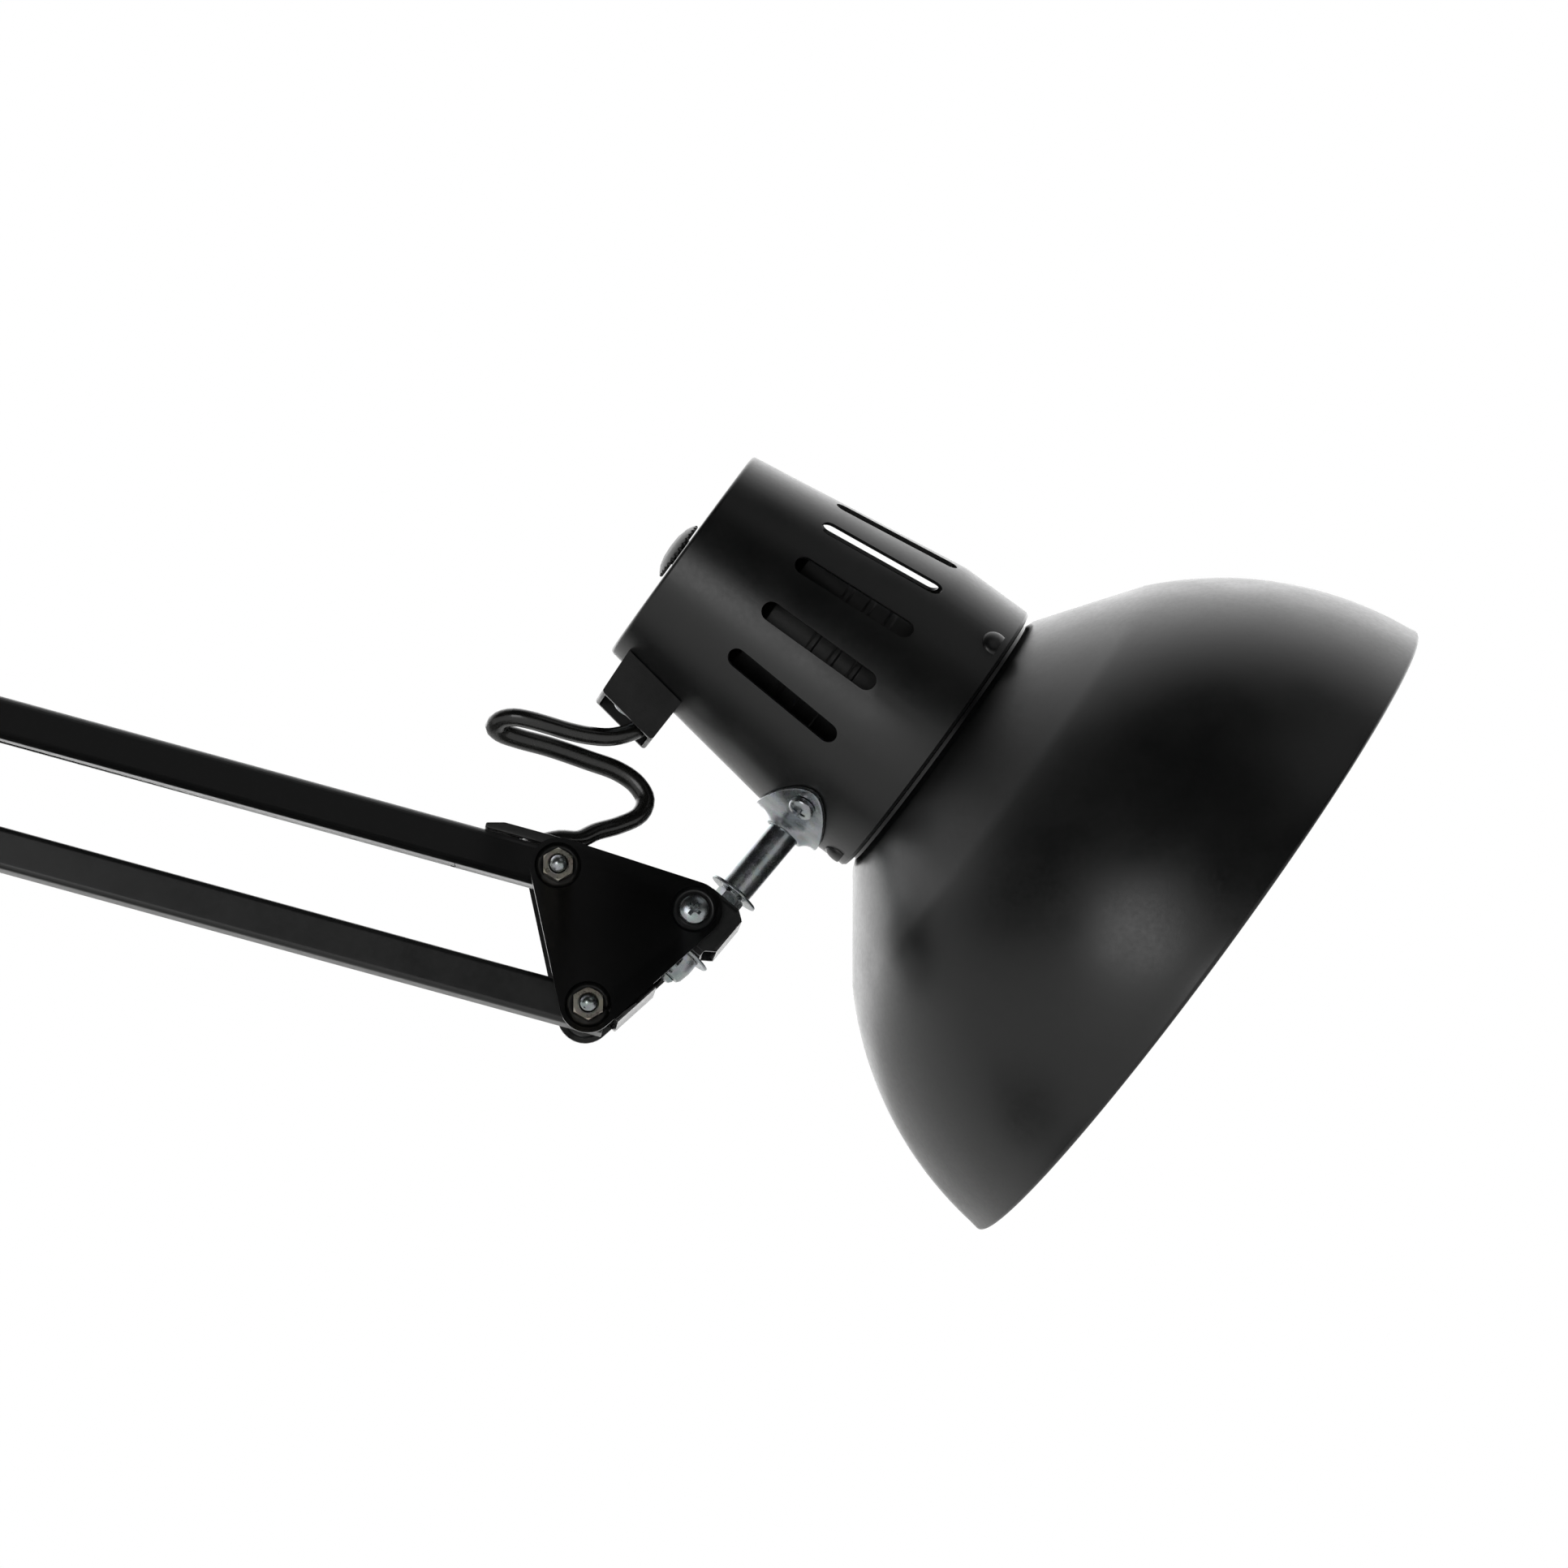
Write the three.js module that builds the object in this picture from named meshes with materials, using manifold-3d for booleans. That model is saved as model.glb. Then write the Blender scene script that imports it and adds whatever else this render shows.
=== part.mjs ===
// Swing arm desk lamp with a weighted round base, in millimetres, +Z up.
// The origin is under the middle of the base. The arms fold in the XZ plane and the shade looks towards +X.
import * as THREE from "three";
import { mergeVertices } from "three/addons/utils/BufferGeometryUtils.js";
import Module from "manifold-3d";

const wasm = await Module();
wasm.setup();

// ---------- driving dimensions ----------
const PLAY = 0.3;                 // gap left between two pieces that touch
const ARM_LENGTH = 400;           // pivot to pivot, both arms
const LOWER_ARM_ANGLE = 105;      // degrees from +X
const UPPER_ARM_ANGLE = -15;
const HOLE_PITCH = 34.3;          // side of the equilateral hole triangle in every bracket
const BRACKET_TURN = -77.6;       // direction from the upper to the lower hole of the head bracket

const BAR_SIZE = 10;              // square tube
const BAR_WALL = 0.9;
const BAR_END = 5;                // tube beyond its pivot

const SHEET = 1.2;                // bracket sheet thickness
const BRACKET_GAP = 20.8;         // between the insides of a bracket's two plates
const EDGE_RADIUS = 6.8;          // plate corner around a hole
const DISH_DEPTH = 0.7;
const DISH_RADIUS = 5.6;

const BOLT_RADIUS = 2;
const HOLE_RADIUS = BOLT_RADIUS + PLAY;
const SLEEVE_RADIUS = 4.2;
const NUT_ACROSS = 7;
const NUT_HEIGHT = 3;
const HEAD_RADIUS = 3.6;
const HEAD_HEIGHT = 2.4;

const BASE_RADIUS = 110;
const PAD_THICKNESS = 1.5;
const BASE_THICKNESS = 12;
const BASE_TOP = PAD_THICKNESS + BASE_THICKNESS;
const POST_RADIUS = 5.9;
const COLLAR_TOP = BASE_TOP + 16;
const TURRET_WEB = COLLAR_TOP + 2.6;
const SPRING_BOLT_HEIGHT = TURRET_WEB + 13.5;

const STEM_ANGLE = 50.4;          // degrees from +X, in the lamp's plane
const TILT_TO_STEM = { x: 4.2, z: 11.2 };
const STEM_RADIUS = 4;
const STEM_LENGTH = 19.4;
const ROD_RADIUS = 2.5;
const HEAD_TURN = 3.8;            // the head's small turn about its stem
const HEAD_LEAN = 4.1;            // the shade's axis against the square to the stem
const MOUTH_FROM_STEM = { x: 92.5, z: 66.2 };

const MOUTH_RADIUS = 90;
const SHADE_CURVE = 90.3;         // the shade is a piece of a sphere of this radius
const SHADE_CENTRE = -7.1;
const SHADE_CURVE_END = 60;
const SHADE_NECK = { radius: 37.6, height: 76.8 };
const SHADE_SHEET = 0.9;
const HOUSING_RADIUS = 38;
const HOUSING_FRONT = 78.6;
const HOUSING_TAPER_START = 97.9;
const HOUSING_BACK = 155.7;
const HOUSING_BACK_RADIUS = 29.3;
const HOUSING_SHEET = 0.9;
const SLOT = { count: 11, pitch: 24.4, length: 32.6, width: 4.8, middle: 116.1 };

const SPRING_RADIUS = 3.8;
const SPRING_SIDE = 5.5;
const LOWER_REACH = 150;           // from a bar's pivot to the pin that its springs pull on
const UPPER_REACH = 140;
const SPRING_DROP = 9.4;

const CORD_RADIUS = 2.5;
const COIL = { x: -185, radius: 29, halfWidth: 10.7, height: 10.1 };

// ---------- places that follow from them ----------
const UP = new THREE.Vector3(0, 0, 1);
const toRadians = THREE.MathUtils.degToRad;

function along(length, degrees) {
  return new THREE.Vector3(length * Math.cos(toRadians(degrees)), 0, length * Math.sin(toRadians(degrees)));
}

function at(x, y, z) {
  return new THREE.Vector3(x, y, z);
}

const springBolt = at(1, 0, SPRING_BOLT_HEIGHT);
const rearFoot = at(-HOLE_PITCH / 2, 0, SPRING_BOLT_HEIGHT + HOLE_PITCH * Math.sin(Math.PI / 3));
const frontFoot = rearFoot.clone().add(at(HOLE_PITCH, 0, 0));
const rearTop = rearFoot.clone().add(along(ARM_LENGTH, LOWER_ARM_ANGLE));
const frontTop = frontFoot.clone().add(along(ARM_LENGTH, LOWER_ARM_ANGLE));
const bottomRoot = frontTop.clone().add(at(16, 0, 18));
const topRoot = bottomRoot.clone().sub(along(HOLE_PITCH, BRACKET_TURN));
const elbowSpringBolt = frontTop.clone().add(at(2, 0, 38));
const topTip = topRoot.clone().add(along(ARM_LENGTH, UPPER_ARM_ANGLE));
const bottomTip = bottomRoot.clone().add(along(ARM_LENGTH, UPPER_ARM_ANGLE));
const tiltHole = topTip.clone().add(along(HOLE_PITCH, BRACKET_TURN + 60));

// ---------- materials ----------
const FINISHES = {
  black_enamel: { color: 0x141414, roughness: 0.5, metalness: 0.1 },
  black_plastic: { color: 0x0e0e0e, roughness: 0.35, metalness: 0 },
  black_cord: { color: 0x0b0b0b, roughness: 0.25, metalness: 0 },
  zinc: { color: 0x9aa3a8, roughness: 0.3, metalness: 0.95 },
  nickel: { color: 0xb0aaa0, roughness: 0.25, metalness: 0.95 },
  spring_steel: { color: 0x8d9094, roughness: 0.35, metalness: 0.95 },
  foam: { color: 0x1b1b1b, roughness: 0.95, metalness: 0 },
  frosted_glass: { color: 0xf4f2ec, roughness: 0.3, metalness: 0 },
  brass: { color: 0xb59a5b, roughness: 0.3, metalness: 0.9 },
};

function piece(name, finish, geometry) {
  const mesh = new THREE.Mesh(geometry, new THREE.MeshStandardMaterial(FINISHES[finish]));
  mesh.name = name;
  return mesh;
}

// ---------- solids ----------
function toSolid(geometry) {
  const bare = geometry.clone();
  bare.deleteAttribute("normal");
  bare.deleteAttribute("uv");
  const merged = mergeVertices(bare, 1e-4);
  const vertProperties = new Float32Array(merged.attributes.position.array);
  const triVerts = new Uint32Array(merged.index.array);
  return new wasm.Manifold(new wasm.Mesh({ numProp: 3, vertProperties, triVerts }));
}

function toGeometry(solid) {
  const mesh = solid.getMesh();
  const geometry = new THREE.BufferGeometry();
  geometry.setAttribute("position", new THREE.BufferAttribute(new Float32Array(mesh.vertProperties), 3));
  geometry.setIndex(new THREE.BufferAttribute(new Uint32Array(mesh.triVerts), 1));
  return geometry;
}

function join(first, ...others) {
  return toGeometry(others.reduce((sum, other) => sum.add(toSolid(other)), toSolid(first)));
}

function cut(first, ...others) {
  return toGeometry(others.reduce((rest, other) => rest.subtract(toSolid(other)), toSolid(first)));
}

function common(first, second) {
  return toGeometry(toSolid(first).intersect(toSolid(second)));
}

// A profile of [radius, height] pairs turned about the Y axis, for bolts and nuts that cross the brackets.
function turnedY(profile, sides) {
  const geometry = new THREE.LatheGeometry(profile.map(([radius, height]) => new THREE.Vector2(radius, height)), sides);
  return isInsideOut(profile) ? flipped(geometry) : geometry;
}

// The same about the Z axis.
function turnedZ(profile, sides) {
  return turnedY(profile, sides).rotateX(Math.PI / 2);
}

function cylinderZ(radius, from, to, sides) {
  return turnedZ([[0, from], [radius, from], [radius, to], [0, to]], sides);
}

// A profile that runs clockwise around its section gives faces that look inwards.
function isInsideOut(profile) {
  const area = profile.reduce((sum, [radius, height], i) => {
    const [nextRadius, nextHeight] = profile[(i + 1) % profile.length];
    return sum + radius * nextHeight - nextRadius * height;
  }, 0);
  return area < 0;
}

function flipped(geometry) {
  const index = geometry.index.array;
  for (let i = 0; i < index.length; i += 3) {
    [index[i], index[i + 1]] = [index[i + 1], index[i]];
  }
  return geometry;
}

function closed(profile) {
  return [...profile, profile[0]];
}

function box(low, high) {
  const size = high.map((value, axis) => value - low[axis]);
  const centre = high.map((value, axis) => (value + low[axis]) / 2);
  return new THREE.BoxGeometry(...size).translate(...centre);
}

function rodY(radius, from, to, sides = 8) {
  return turnedY([[0, from], [radius, from], [radius, to], [0, to]], sides);
}

// An outline in X and Z, made thick along Y.
function slab(outline, from, to, steps = 3) {
  const geometry = new THREE.ExtrudeGeometry(outline, { depth: to - from, bevelEnabled: false, curveSegments: steps });
  return geometry.rotateX(Math.PI / 2).translate(0, to, 0);
}

// The convex outline that goes round the given corners, each with the same radius.
function roundedOutline(corners, radius) {
  const outline = new THREE.Shape();
  const count = corners.length;
  corners.forEach((corner, i) => {
    const before = corners[(i + count - 1) % count];
    const after = corners[(i + 1) % count];
    const start = Math.atan2(corner.z - before.z, corner.x - before.x) - Math.PI / 2;
    const end = Math.atan2(after.z - corner.z, after.x - corner.x) - Math.PI / 2;
    outline.absarc(corner.x, corner.z, radius, start, end, false);
  });
  outline.closePath();
  return outline;
}

function withHoles(outline, centres, radius) {
  centres.forEach((centre) => {
    const hole = new THREE.Path();
    hole.absarc(centre.x, centre.z, radius, 0, 2 * Math.PI, true);
    outline.holes.push(hole);
  });
  return outline;
}

// ---------- fasteners ----------
const PLATE_INSIDE = BRACKET_GAP / 2;
const PLATE_OUTSIDE = PLATE_INSIDE + SHEET;
const SEAT = PLATE_OUTSIDE - DISH_DEPTH + 0.2;       // where a nut or a screw head sits in its dish
const SLEEVE_OUT = PLATE_INSIDE - DISH_DEPTH - PLAY;
const SLEEVE_IN = BAR_SIZE / 2 + PLAY;

function hexNut(centre, from, to, across = NUT_ACROSS, bore = HOLE_RADIUS) {
  const outer = across / Math.sqrt(3);
  const blank = rodY(outer, from, to, 6).rotateY(toRadians(30));
  const hole = rodY(bore, from - 1, to + 1);
  return cut(blank, hole).translate(centre.x, 0, centre.z);
}

// The profile of a pan head seated in a dish on that side, from its shank to its top.
function panHead(side) {
  return [
    [BOLT_RADIUS, SEAT], [HEAD_RADIUS, SEAT], [HEAD_RADIUS - 0.1, SEAT + 1.2], [2.4, SEAT + 2.1], [0, SEAT + HEAD_HEIGHT],
  ].map(([radius, height]) => [radius, side * height]);
}

// A bolt across a bracket: domed tip on the -Y side, pan head on the +Y side, and a spacer sleeve
// on each side of the bar.
function pivotBolt(centre) {
  const tip = SEAT + NUT_HEIGHT + 1.6;
  return turnedY([
    [0, -tip - 0.9], [1.3, -tip - 0.6], [BOLT_RADIUS, -tip],
    [BOLT_RADIUS, -SLEEVE_OUT], [SLEEVE_RADIUS, -SLEEVE_OUT], [SLEEVE_RADIUS, -SLEEVE_IN], [BOLT_RADIUS, -SLEEVE_IN],
    [BOLT_RADIUS, SLEEVE_IN], [SLEEVE_RADIUS, SLEEVE_IN], [SLEEVE_RADIUS, SLEEVE_OUT], [BOLT_RADIUS, SLEEVE_OUT],
    ...panHead(1),
  ], 8).translate(centre.x, 0, centre.z);
}

// The same bolt with its nut run up against the dish, as one solid.
function boltWithNut(centre) {
  return join(pivotBolt(centre), rodY(NUT_ACROSS / Math.sqrt(3), -SEAT - NUT_HEIGHT, -SEAT, 6)
    .rotateY(toRadians(30)).translate(centre.x, 0, centre.z));
}

// A plain bolt that holds spring hooks, with a head on each side.
function hookBolt(centre) {
  return turnedY([...panHead(-1).reverse(), ...panHead(1)], 8).translate(centre.x, 0, centre.z);
}

// ---------- bracket plates ----------
// A shallow pressed dish: a hollow on the outside of the plate and the same bump on its inside.
function dish(centre, outside) {
  const side = Math.sign(outside);
  const bottom = outside - side * DISH_DEPTH;
  const slope = DISH_RADIUS - DISH_DEPTH;
  const mouth = outside + side * 0.5;
  const profile = [[0, bottom], [slope, bottom], [DISH_RADIUS, outside], [DISH_RADIUS, mouth], [0, mouth]];
  return turnedY(profile, 12).translate(centre.x, 0, centre.z);
}

function plate(corners, holes, side) {
  const outline = roundedOutline(corners, EDGE_RADIUS);
  const [from, to] = side < 0 ? [-PLATE_OUTSIDE, -PLATE_INSIDE] : [PLATE_INSIDE, PLATE_OUTSIDE];
  const bumps = holes.map((hole) => dish(hole, side * PLATE_INSIDE));
  const hollows = holes.map((hole) => dish(hole, side * PLATE_OUTSIDE));
  const bores = holes.map((hole) => rodY(HOLE_RADIUS, from - 2, to + 2).translate(hole.x, 0, hole.z));
  return cut(join(slab(outline, from, to), ...bumps), ...hollows, ...bores);
}

// ---------- base ----------
function makeBase() {
  const group = new THREE.Group();
  const recess = { radius: 22, top: PAD_THICKNESS + 5 };
  const shank = 10;
  const edge = 3;
  const edgeArc = [0, 45, 90].map((degrees) => {
    const lift = along(edge, degrees);
    return [BASE_RADIUS - edge + lift.x, BASE_TOP - edge + lift.z];
  });
  group.add(piece("base_pad", "foam", cylinderZ(BASE_RADIUS - edge, 0, PAD_THICKNESS, 32)));
  group.add(piece("base_plate", "black_enamel", turnedZ(closed([
    [recess.radius, PAD_THICKNESS + PLAY], [BASE_RADIUS, PAD_THICKNESS + PLAY], ...edgeArc,
    [shank + PLAY, BASE_TOP], [shank + PLAY, recess.top], [recess.radius, recess.top],
  ]), 40)));
  const bottom = PAD_THICKNESS + 1;
  const flange = { radius: 18, bottom: BASE_TOP + PLAY, top: BASE_TOP + 2 };
  const bore = cylinderZ(POST_RADIUS + PLAY, 0, COLLAR_TOP + 1, 16);
  const collar = turnedZ([
    [0, bottom], [shank, bottom], [shank, flange.bottom], [flange.radius, flange.bottom], [flange.radius, flange.top],
    [shank + 1.5, flange.top + 1.4], [shank + 1, COLLAR_TOP - 1], [shank + 0.2, COLLAR_TOP], [0, COLLAR_TOP],
  ], 16);
  const nut = cylinderZ(16, bottom, recess.top - PLAY, 6);
  group.add(piece("base_socket", "zinc", cut(join(collar, nut), bore)));
  return group;
}

// ---------- turret: the part that turns in the base ----------
function makeTurret() {
  const group = new THREE.Group();
  const webTop = TURRET_WEB + SHEET;
  const webBore = 5;
  const postFoot = BASE_TOP - 4;
  const postTop = webTop + 6.5;
  const shoulder = 10.5;
  const nut = { radius: 7.5, height: 4 };
  const tail = { back: -36, front: 8, half: 6.5 };
  const bend = { back: -8.5, front: 10.5 };
  const post = turnedZ([
    [0, postFoot], [POST_RADIUS - 1, postFoot], [POST_RADIUS, postFoot + 1], [POST_RADIUS, COLLAR_TOP + PLAY],
    [shoulder, COLLAR_TOP + PLAY], [shoulder, TURRET_WEB - PLAY], [webBore - PLAY, TURRET_WEB - PLAY],
    [webBore - PLAY, postTop - 1], [webBore - 1.3, postTop], [0, postTop],
  ], 16);
  const postNut = cylinderZ(nut.radius, webTop + PLAY, webTop + PLAY + nut.height, 6);
  group.add(piece("turret_post", "zinc", join(post, postNut)));
  const holes = [springBolt, frontFoot, rearFoot];
  const corners = [at(-4, 0, TURRET_WEB + EDGE_RADIUS), at(6, 0, TURRET_WEB + EDGE_RADIUS), frontFoot, rearFoot];
  const web = join(
    box([tail.back, -tail.half, TURRET_WEB], [tail.front, tail.half, webTop]),
    box([bend.back, -PLATE_OUTSIDE, TURRET_WEB], [bend.front, PLATE_OUTSIDE, webTop]));
  group.add(piece("turret_bracket", "black_enamel", join(
    plate(corners, holes, -1), plate(corners, holes, 1), cut(web, cylinderZ(webBore, 0, postTop, 16)))));
  group.add(piece("rear_foot_bolt", "zinc", boltWithNut(rearFoot)));
  group.add(piece("front_foot_bolt", "zinc", boltWithNut(frontFoot)));
  group.add(piece("lower_spring_bolt", "zinc", hookBolt(springBolt)));
  group.add(piece("cord_grip", "black_plastic", cordGrip(webTop + PLAY)));
  return group;
}

// A plastic block on the turret's tail that the cord passes through, from its top to its back.
function cordGrip(bottom) {
  const middle = -30;
  const half = 5.5;
  const height = 12;
  const bore = CORD_RADIUS + 0.5;
  const block = box([middle - half, -half, bottom], [middle + half, half, bottom + height]);
  const down = cylinderZ(bore, 5, height + 1, 10).translate(middle, 0, bottom);
  const back = box([middle - half - 1.5, -bore, bottom + 1.5], [middle, bore, bottom + 7.4]);
  return cut(block, down, back);
}

// ---------- arms ----------
// Every bar lies along its own X axis from the pivot at its root; +Z is the side that carries the cord.
function barGroup(root, degrees) {
  const group = new THREE.Group();
  group.position.copy(root);
  group.rotation.y = -toRadians(degrees);
  return group;
}

function barTube({ slots = [], anchor = null } = {}) {
  const half = BAR_SIZE / 2;
  const inner = half - BAR_WALL;
  const length = ARM_LENGTH + BAR_END;
  const blank = box([-BAR_END, -half, -half], [length, half, half]);
  return cut(
    anchor === null ? blank : join(blank, springAnchor(anchor)),
    box([-BAR_END - 1, -inner, -inner], [length + 1, inner, inner]),
    rodY(HOLE_RADIUS, -BAR_SIZE, BAR_SIZE),
    rodY(HOLE_RADIUS, -BAR_SIZE, BAR_SIZE).translate(ARM_LENGTH, 0, 0),
    ...slots.map(([from, to]) => box([from, -SLOT_HALF, 0], [to, SLOT_HALF, BAR_SIZE])));
}

// A low plastic bush on the bar where the cord goes in: a ramp at its closed end and a channel for the cord.
// "open" is the place of its open end, and the bush reaches back from there along "direction".
function cordBush(open, direction) {
  const length = 24;
  const ramp = 19.7;
  const channel = 17.5;
  const half = 4.6;
  const low = BAR_SIZE / 2 + PLAY;
  const high = low + 2.5;
  const outline = new THREE.Shape();
  outline.moveTo(open, low);
  outline.lineTo(open, high);
  outline.lineTo(open + direction * ramp, high);
  outline.lineTo(open + direction * length, low + 1.3);
  outline.lineTo(open + direction * length, low);
  outline.closePath();
  const [from, to] = [open - direction, open + direction * channel].sort((a, b) => a - b);
  return cut(slab(outline, -half, half), box([from, -SLOT_HALF, low - 1], [to, SLOT_HALF, high + 1]));
}

// A small tab welded under a bar, with a cross pin for the spring hooks.
function springAnchor(distance) {
  const pin = { radius: 1.5, reach: 9.8 };
  const tab = { half: 3, thickness: 2.4 };
  return join(
    rodY(pin.radius, -pin.reach, pin.reach).translate(distance, 0, -SPRING_DROP),
    box([distance - tab.half, -tab.thickness / 2, -SPRING_DROP], [distance + tab.half, tab.thickness / 2, 0]));
}

const SLOT_HALF = 3;
const CORD_SLOT = [0.9, 14];       // from a pivot to the near and far ends of the slot for the cord
const FOOT_RISE = 31;              // the lowest slot sits this much higher, clear of the turret
const FOOT_SLOT = [FOOT_RISE + CORD_SLOT[0], FOOT_RISE + CORD_SLOT[1]];
const CORD_INSIDE = 16;            // where the hidden stretch of cord starts
const TIP_SLOT = [ARM_LENGTH - CORD_SLOT[1], ARM_LENGTH - CORD_SLOT[0]];

// The stretch of cord that runs hidden inside a bar.
function innerCord(from, to) {
  return cylinderZ(CORD_RADIUS, from, to, 8).rotateY(Math.PI / 2);
}

function makeLowerArm() {
  const rear = barGroup(rearFoot, LOWER_ARM_ANGLE);
  rear.add(piece("lower_rear_bar", "black_enamel", barTube({ slots: [FOOT_SLOT, TIP_SLOT], anchor: LOWER_REACH })));
  rear.add(piece("lower_foot_bush", "black_plastic", cordBush(FOOT_RISE - 4.5, 1)));
  rear.add(piece("lower_tip_bush", "black_plastic", cordBush(ARM_LENGTH + 4.5, -1)));
  rear.add(piece("lower_arm_cord", "black_cord", innerCord(FOOT_RISE + CORD_INSIDE, ARM_LENGTH - CORD_INSIDE)));
  const front = barGroup(frontFoot, LOWER_ARM_ANGLE);
  front.add(piece("lower_front_bar", "black_enamel", barTube()));
  return [rear, front];
}

function makeUpperArm() {
  const top = barGroup(topRoot, UPPER_ARM_ANGLE);
  top.add(piece("upper_top_bar", "black_enamel", barTube({ slots: [CORD_SLOT, TIP_SLOT], anchor: UPPER_REACH })));
  top.add(piece("upper_root_bush", "black_plastic", cordBush(-4.5, 1)));
  top.add(piece("upper_tip_bush", "black_plastic", cordBush(ARM_LENGTH + 4.5, -1)));
  top.add(piece("upper_arm_cord", "black_cord", innerCord(CORD_INSIDE, ARM_LENGTH - CORD_INSIDE)));
  const bottom = barGroup(bottomRoot, UPPER_ARM_ANGLE);
  bottom.add(piece("upper_bottom_bar", "black_enamel", barTube()));
  return [top, bottom];
}

function makeElbow() {
  const group = new THREE.Group();
  const corners = [rearTop, frontTop, bottomRoot, topRoot];
  const holes = [...corners, elbowSpringBolt];
  group.add(piece("elbow_plate_near", "black_enamel", plate(corners, holes, -1)));
  group.add(piece("elbow_plate_far", "black_enamel", plate(corners, holes, 1)));
  group.add(piece("elbow_rear_bolt", "zinc", boltWithNut(rearTop)));
  group.add(piece("elbow_front_bolt", "zinc", boltWithNut(frontTop)));
  group.add(piece("elbow_bottom_bolt", "zinc", boltWithNut(bottomRoot)));
  group.add(piece("elbow_top_bolt", "zinc", boltWithNut(topRoot)));
  group.add(piece("upper_spring_bolt", "zinc", hookBolt(elbowSpringBolt)));
  return group;
}

// ---------- balance springs ----------
// Each spring is an open tube of the coil's size between a hook bolt and the pin on its bar.
function springTube(from, to, y) {
  const wall = 1.2;
  const hook = 6;
  const span = to.clone().sub(from);
  const length = span.length();
  const tube = turnedZ(closed([
    [SPRING_RADIUS - wall, hook], [SPRING_RADIUS, hook], [SPRING_RADIUS, length - hook], [SPRING_RADIUS - wall, length - hook],
  ]), 12);
  tube.applyQuaternion(new THREE.Quaternion().setFromUnitVectors(UP, span.normalize()));
  return tube.translate(from.x, y, from.z);
}

function anchorPoint(root, degrees, distance) {
  return root.clone().add(along(distance, degrees)).sub(along(SPRING_DROP, degrees + 90));
}

function makeSprings() {
  const group = new THREE.Group();
  const lowerAnchor = anchorPoint(rearFoot, LOWER_ARM_ANGLE, LOWER_REACH);
  const upperAnchor = anchorPoint(topRoot, UPPER_ARM_ANGLE, UPPER_REACH);
  [["near", -SPRING_SIDE], ["far", SPRING_SIDE]].forEach(([side, y]) => {
    group.add(piece(`lower_spring_${side}`, "spring_steel", springTube(springBolt, lowerAnchor, y)));
    group.add(piece(`upper_spring_${side}`, "spring_steel", springTube(elbowSpringBolt, upperAnchor, y)));
  });
  return group;
}

// ---------- head bracket ----------
function makeHeadBracket() {
  const group = new THREE.Group();
  const holes = [topTip, bottomTip, tiltHole];
  const web = { from: 2.6, to: 15, outside: 7.9 };
  const edge = tiltHole.clone().sub(bottomTip).normalize();
  const outward = at(-edge.z, 0, edge.x).negate();
  const onEdge = (distance, offset) => bottomTip.clone().addScaledVector(edge, distance).addScaledVector(outward, offset);
  const strip = (inside) => new THREE.Shape([
    onEdge(web.from, inside), onEdge(web.from, web.outside), onEdge(web.to, web.outside), onEdge(web.to, inside),
  ].map((corner) => new THREE.Vector2(corner.x, corner.z)));
  const fold = strip(web.outside - SHEET);
  const lip = strip(EDGE_RADIUS - 0.8);
  group.add(piece("head_bracket", "black_enamel", join(
    plate(holes, holes, -1), plate(holes, holes, 1),
    slab(fold, -PLATE_OUTSIDE, PLATE_OUTSIDE),
    slab(lip, -PLATE_OUTSIDE, -PLATE_INSIDE), slab(lip, PLATE_INSIDE, PLATE_OUTSIDE))));
  group.add(piece("head_top_bolt", "zinc", pivotBolt(topTip)));
  group.add(piece("head_bottom_bolt", "zinc", pivotBolt(bottomTip)));
  group.add(piece("head_top_nut", "nickel", hexNut(topTip, -SEAT - NUT_HEIGHT, -SEAT)));
  group.add(piece("head_bottom_nut", "nickel", hexNut(bottomTip, -SEAT - NUT_HEIGHT, -SEAT)));
  return group;
}

// ---------- yoke: tilts in the head bracket and holds the stem ----------
// Its own frame stands at the foot of the stem, +Z up along the stem, +X to the outer side.
const LEG_OUTSIDE = SLEEVE_OUT;
const LEG_INSIDE = LEG_OUTSIDE - SHEET;

function stemFrame() {
  const group = new THREE.Group();
  group.rotation.y = toRadians(90 - STEM_ANGLE);
  group.position.copy(tiltHole);
  group.position.add(at(TILT_TO_STEM.x, 0, TILT_TO_STEM.z).applyEuler(group.rotation));
  return group;
}

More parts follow.
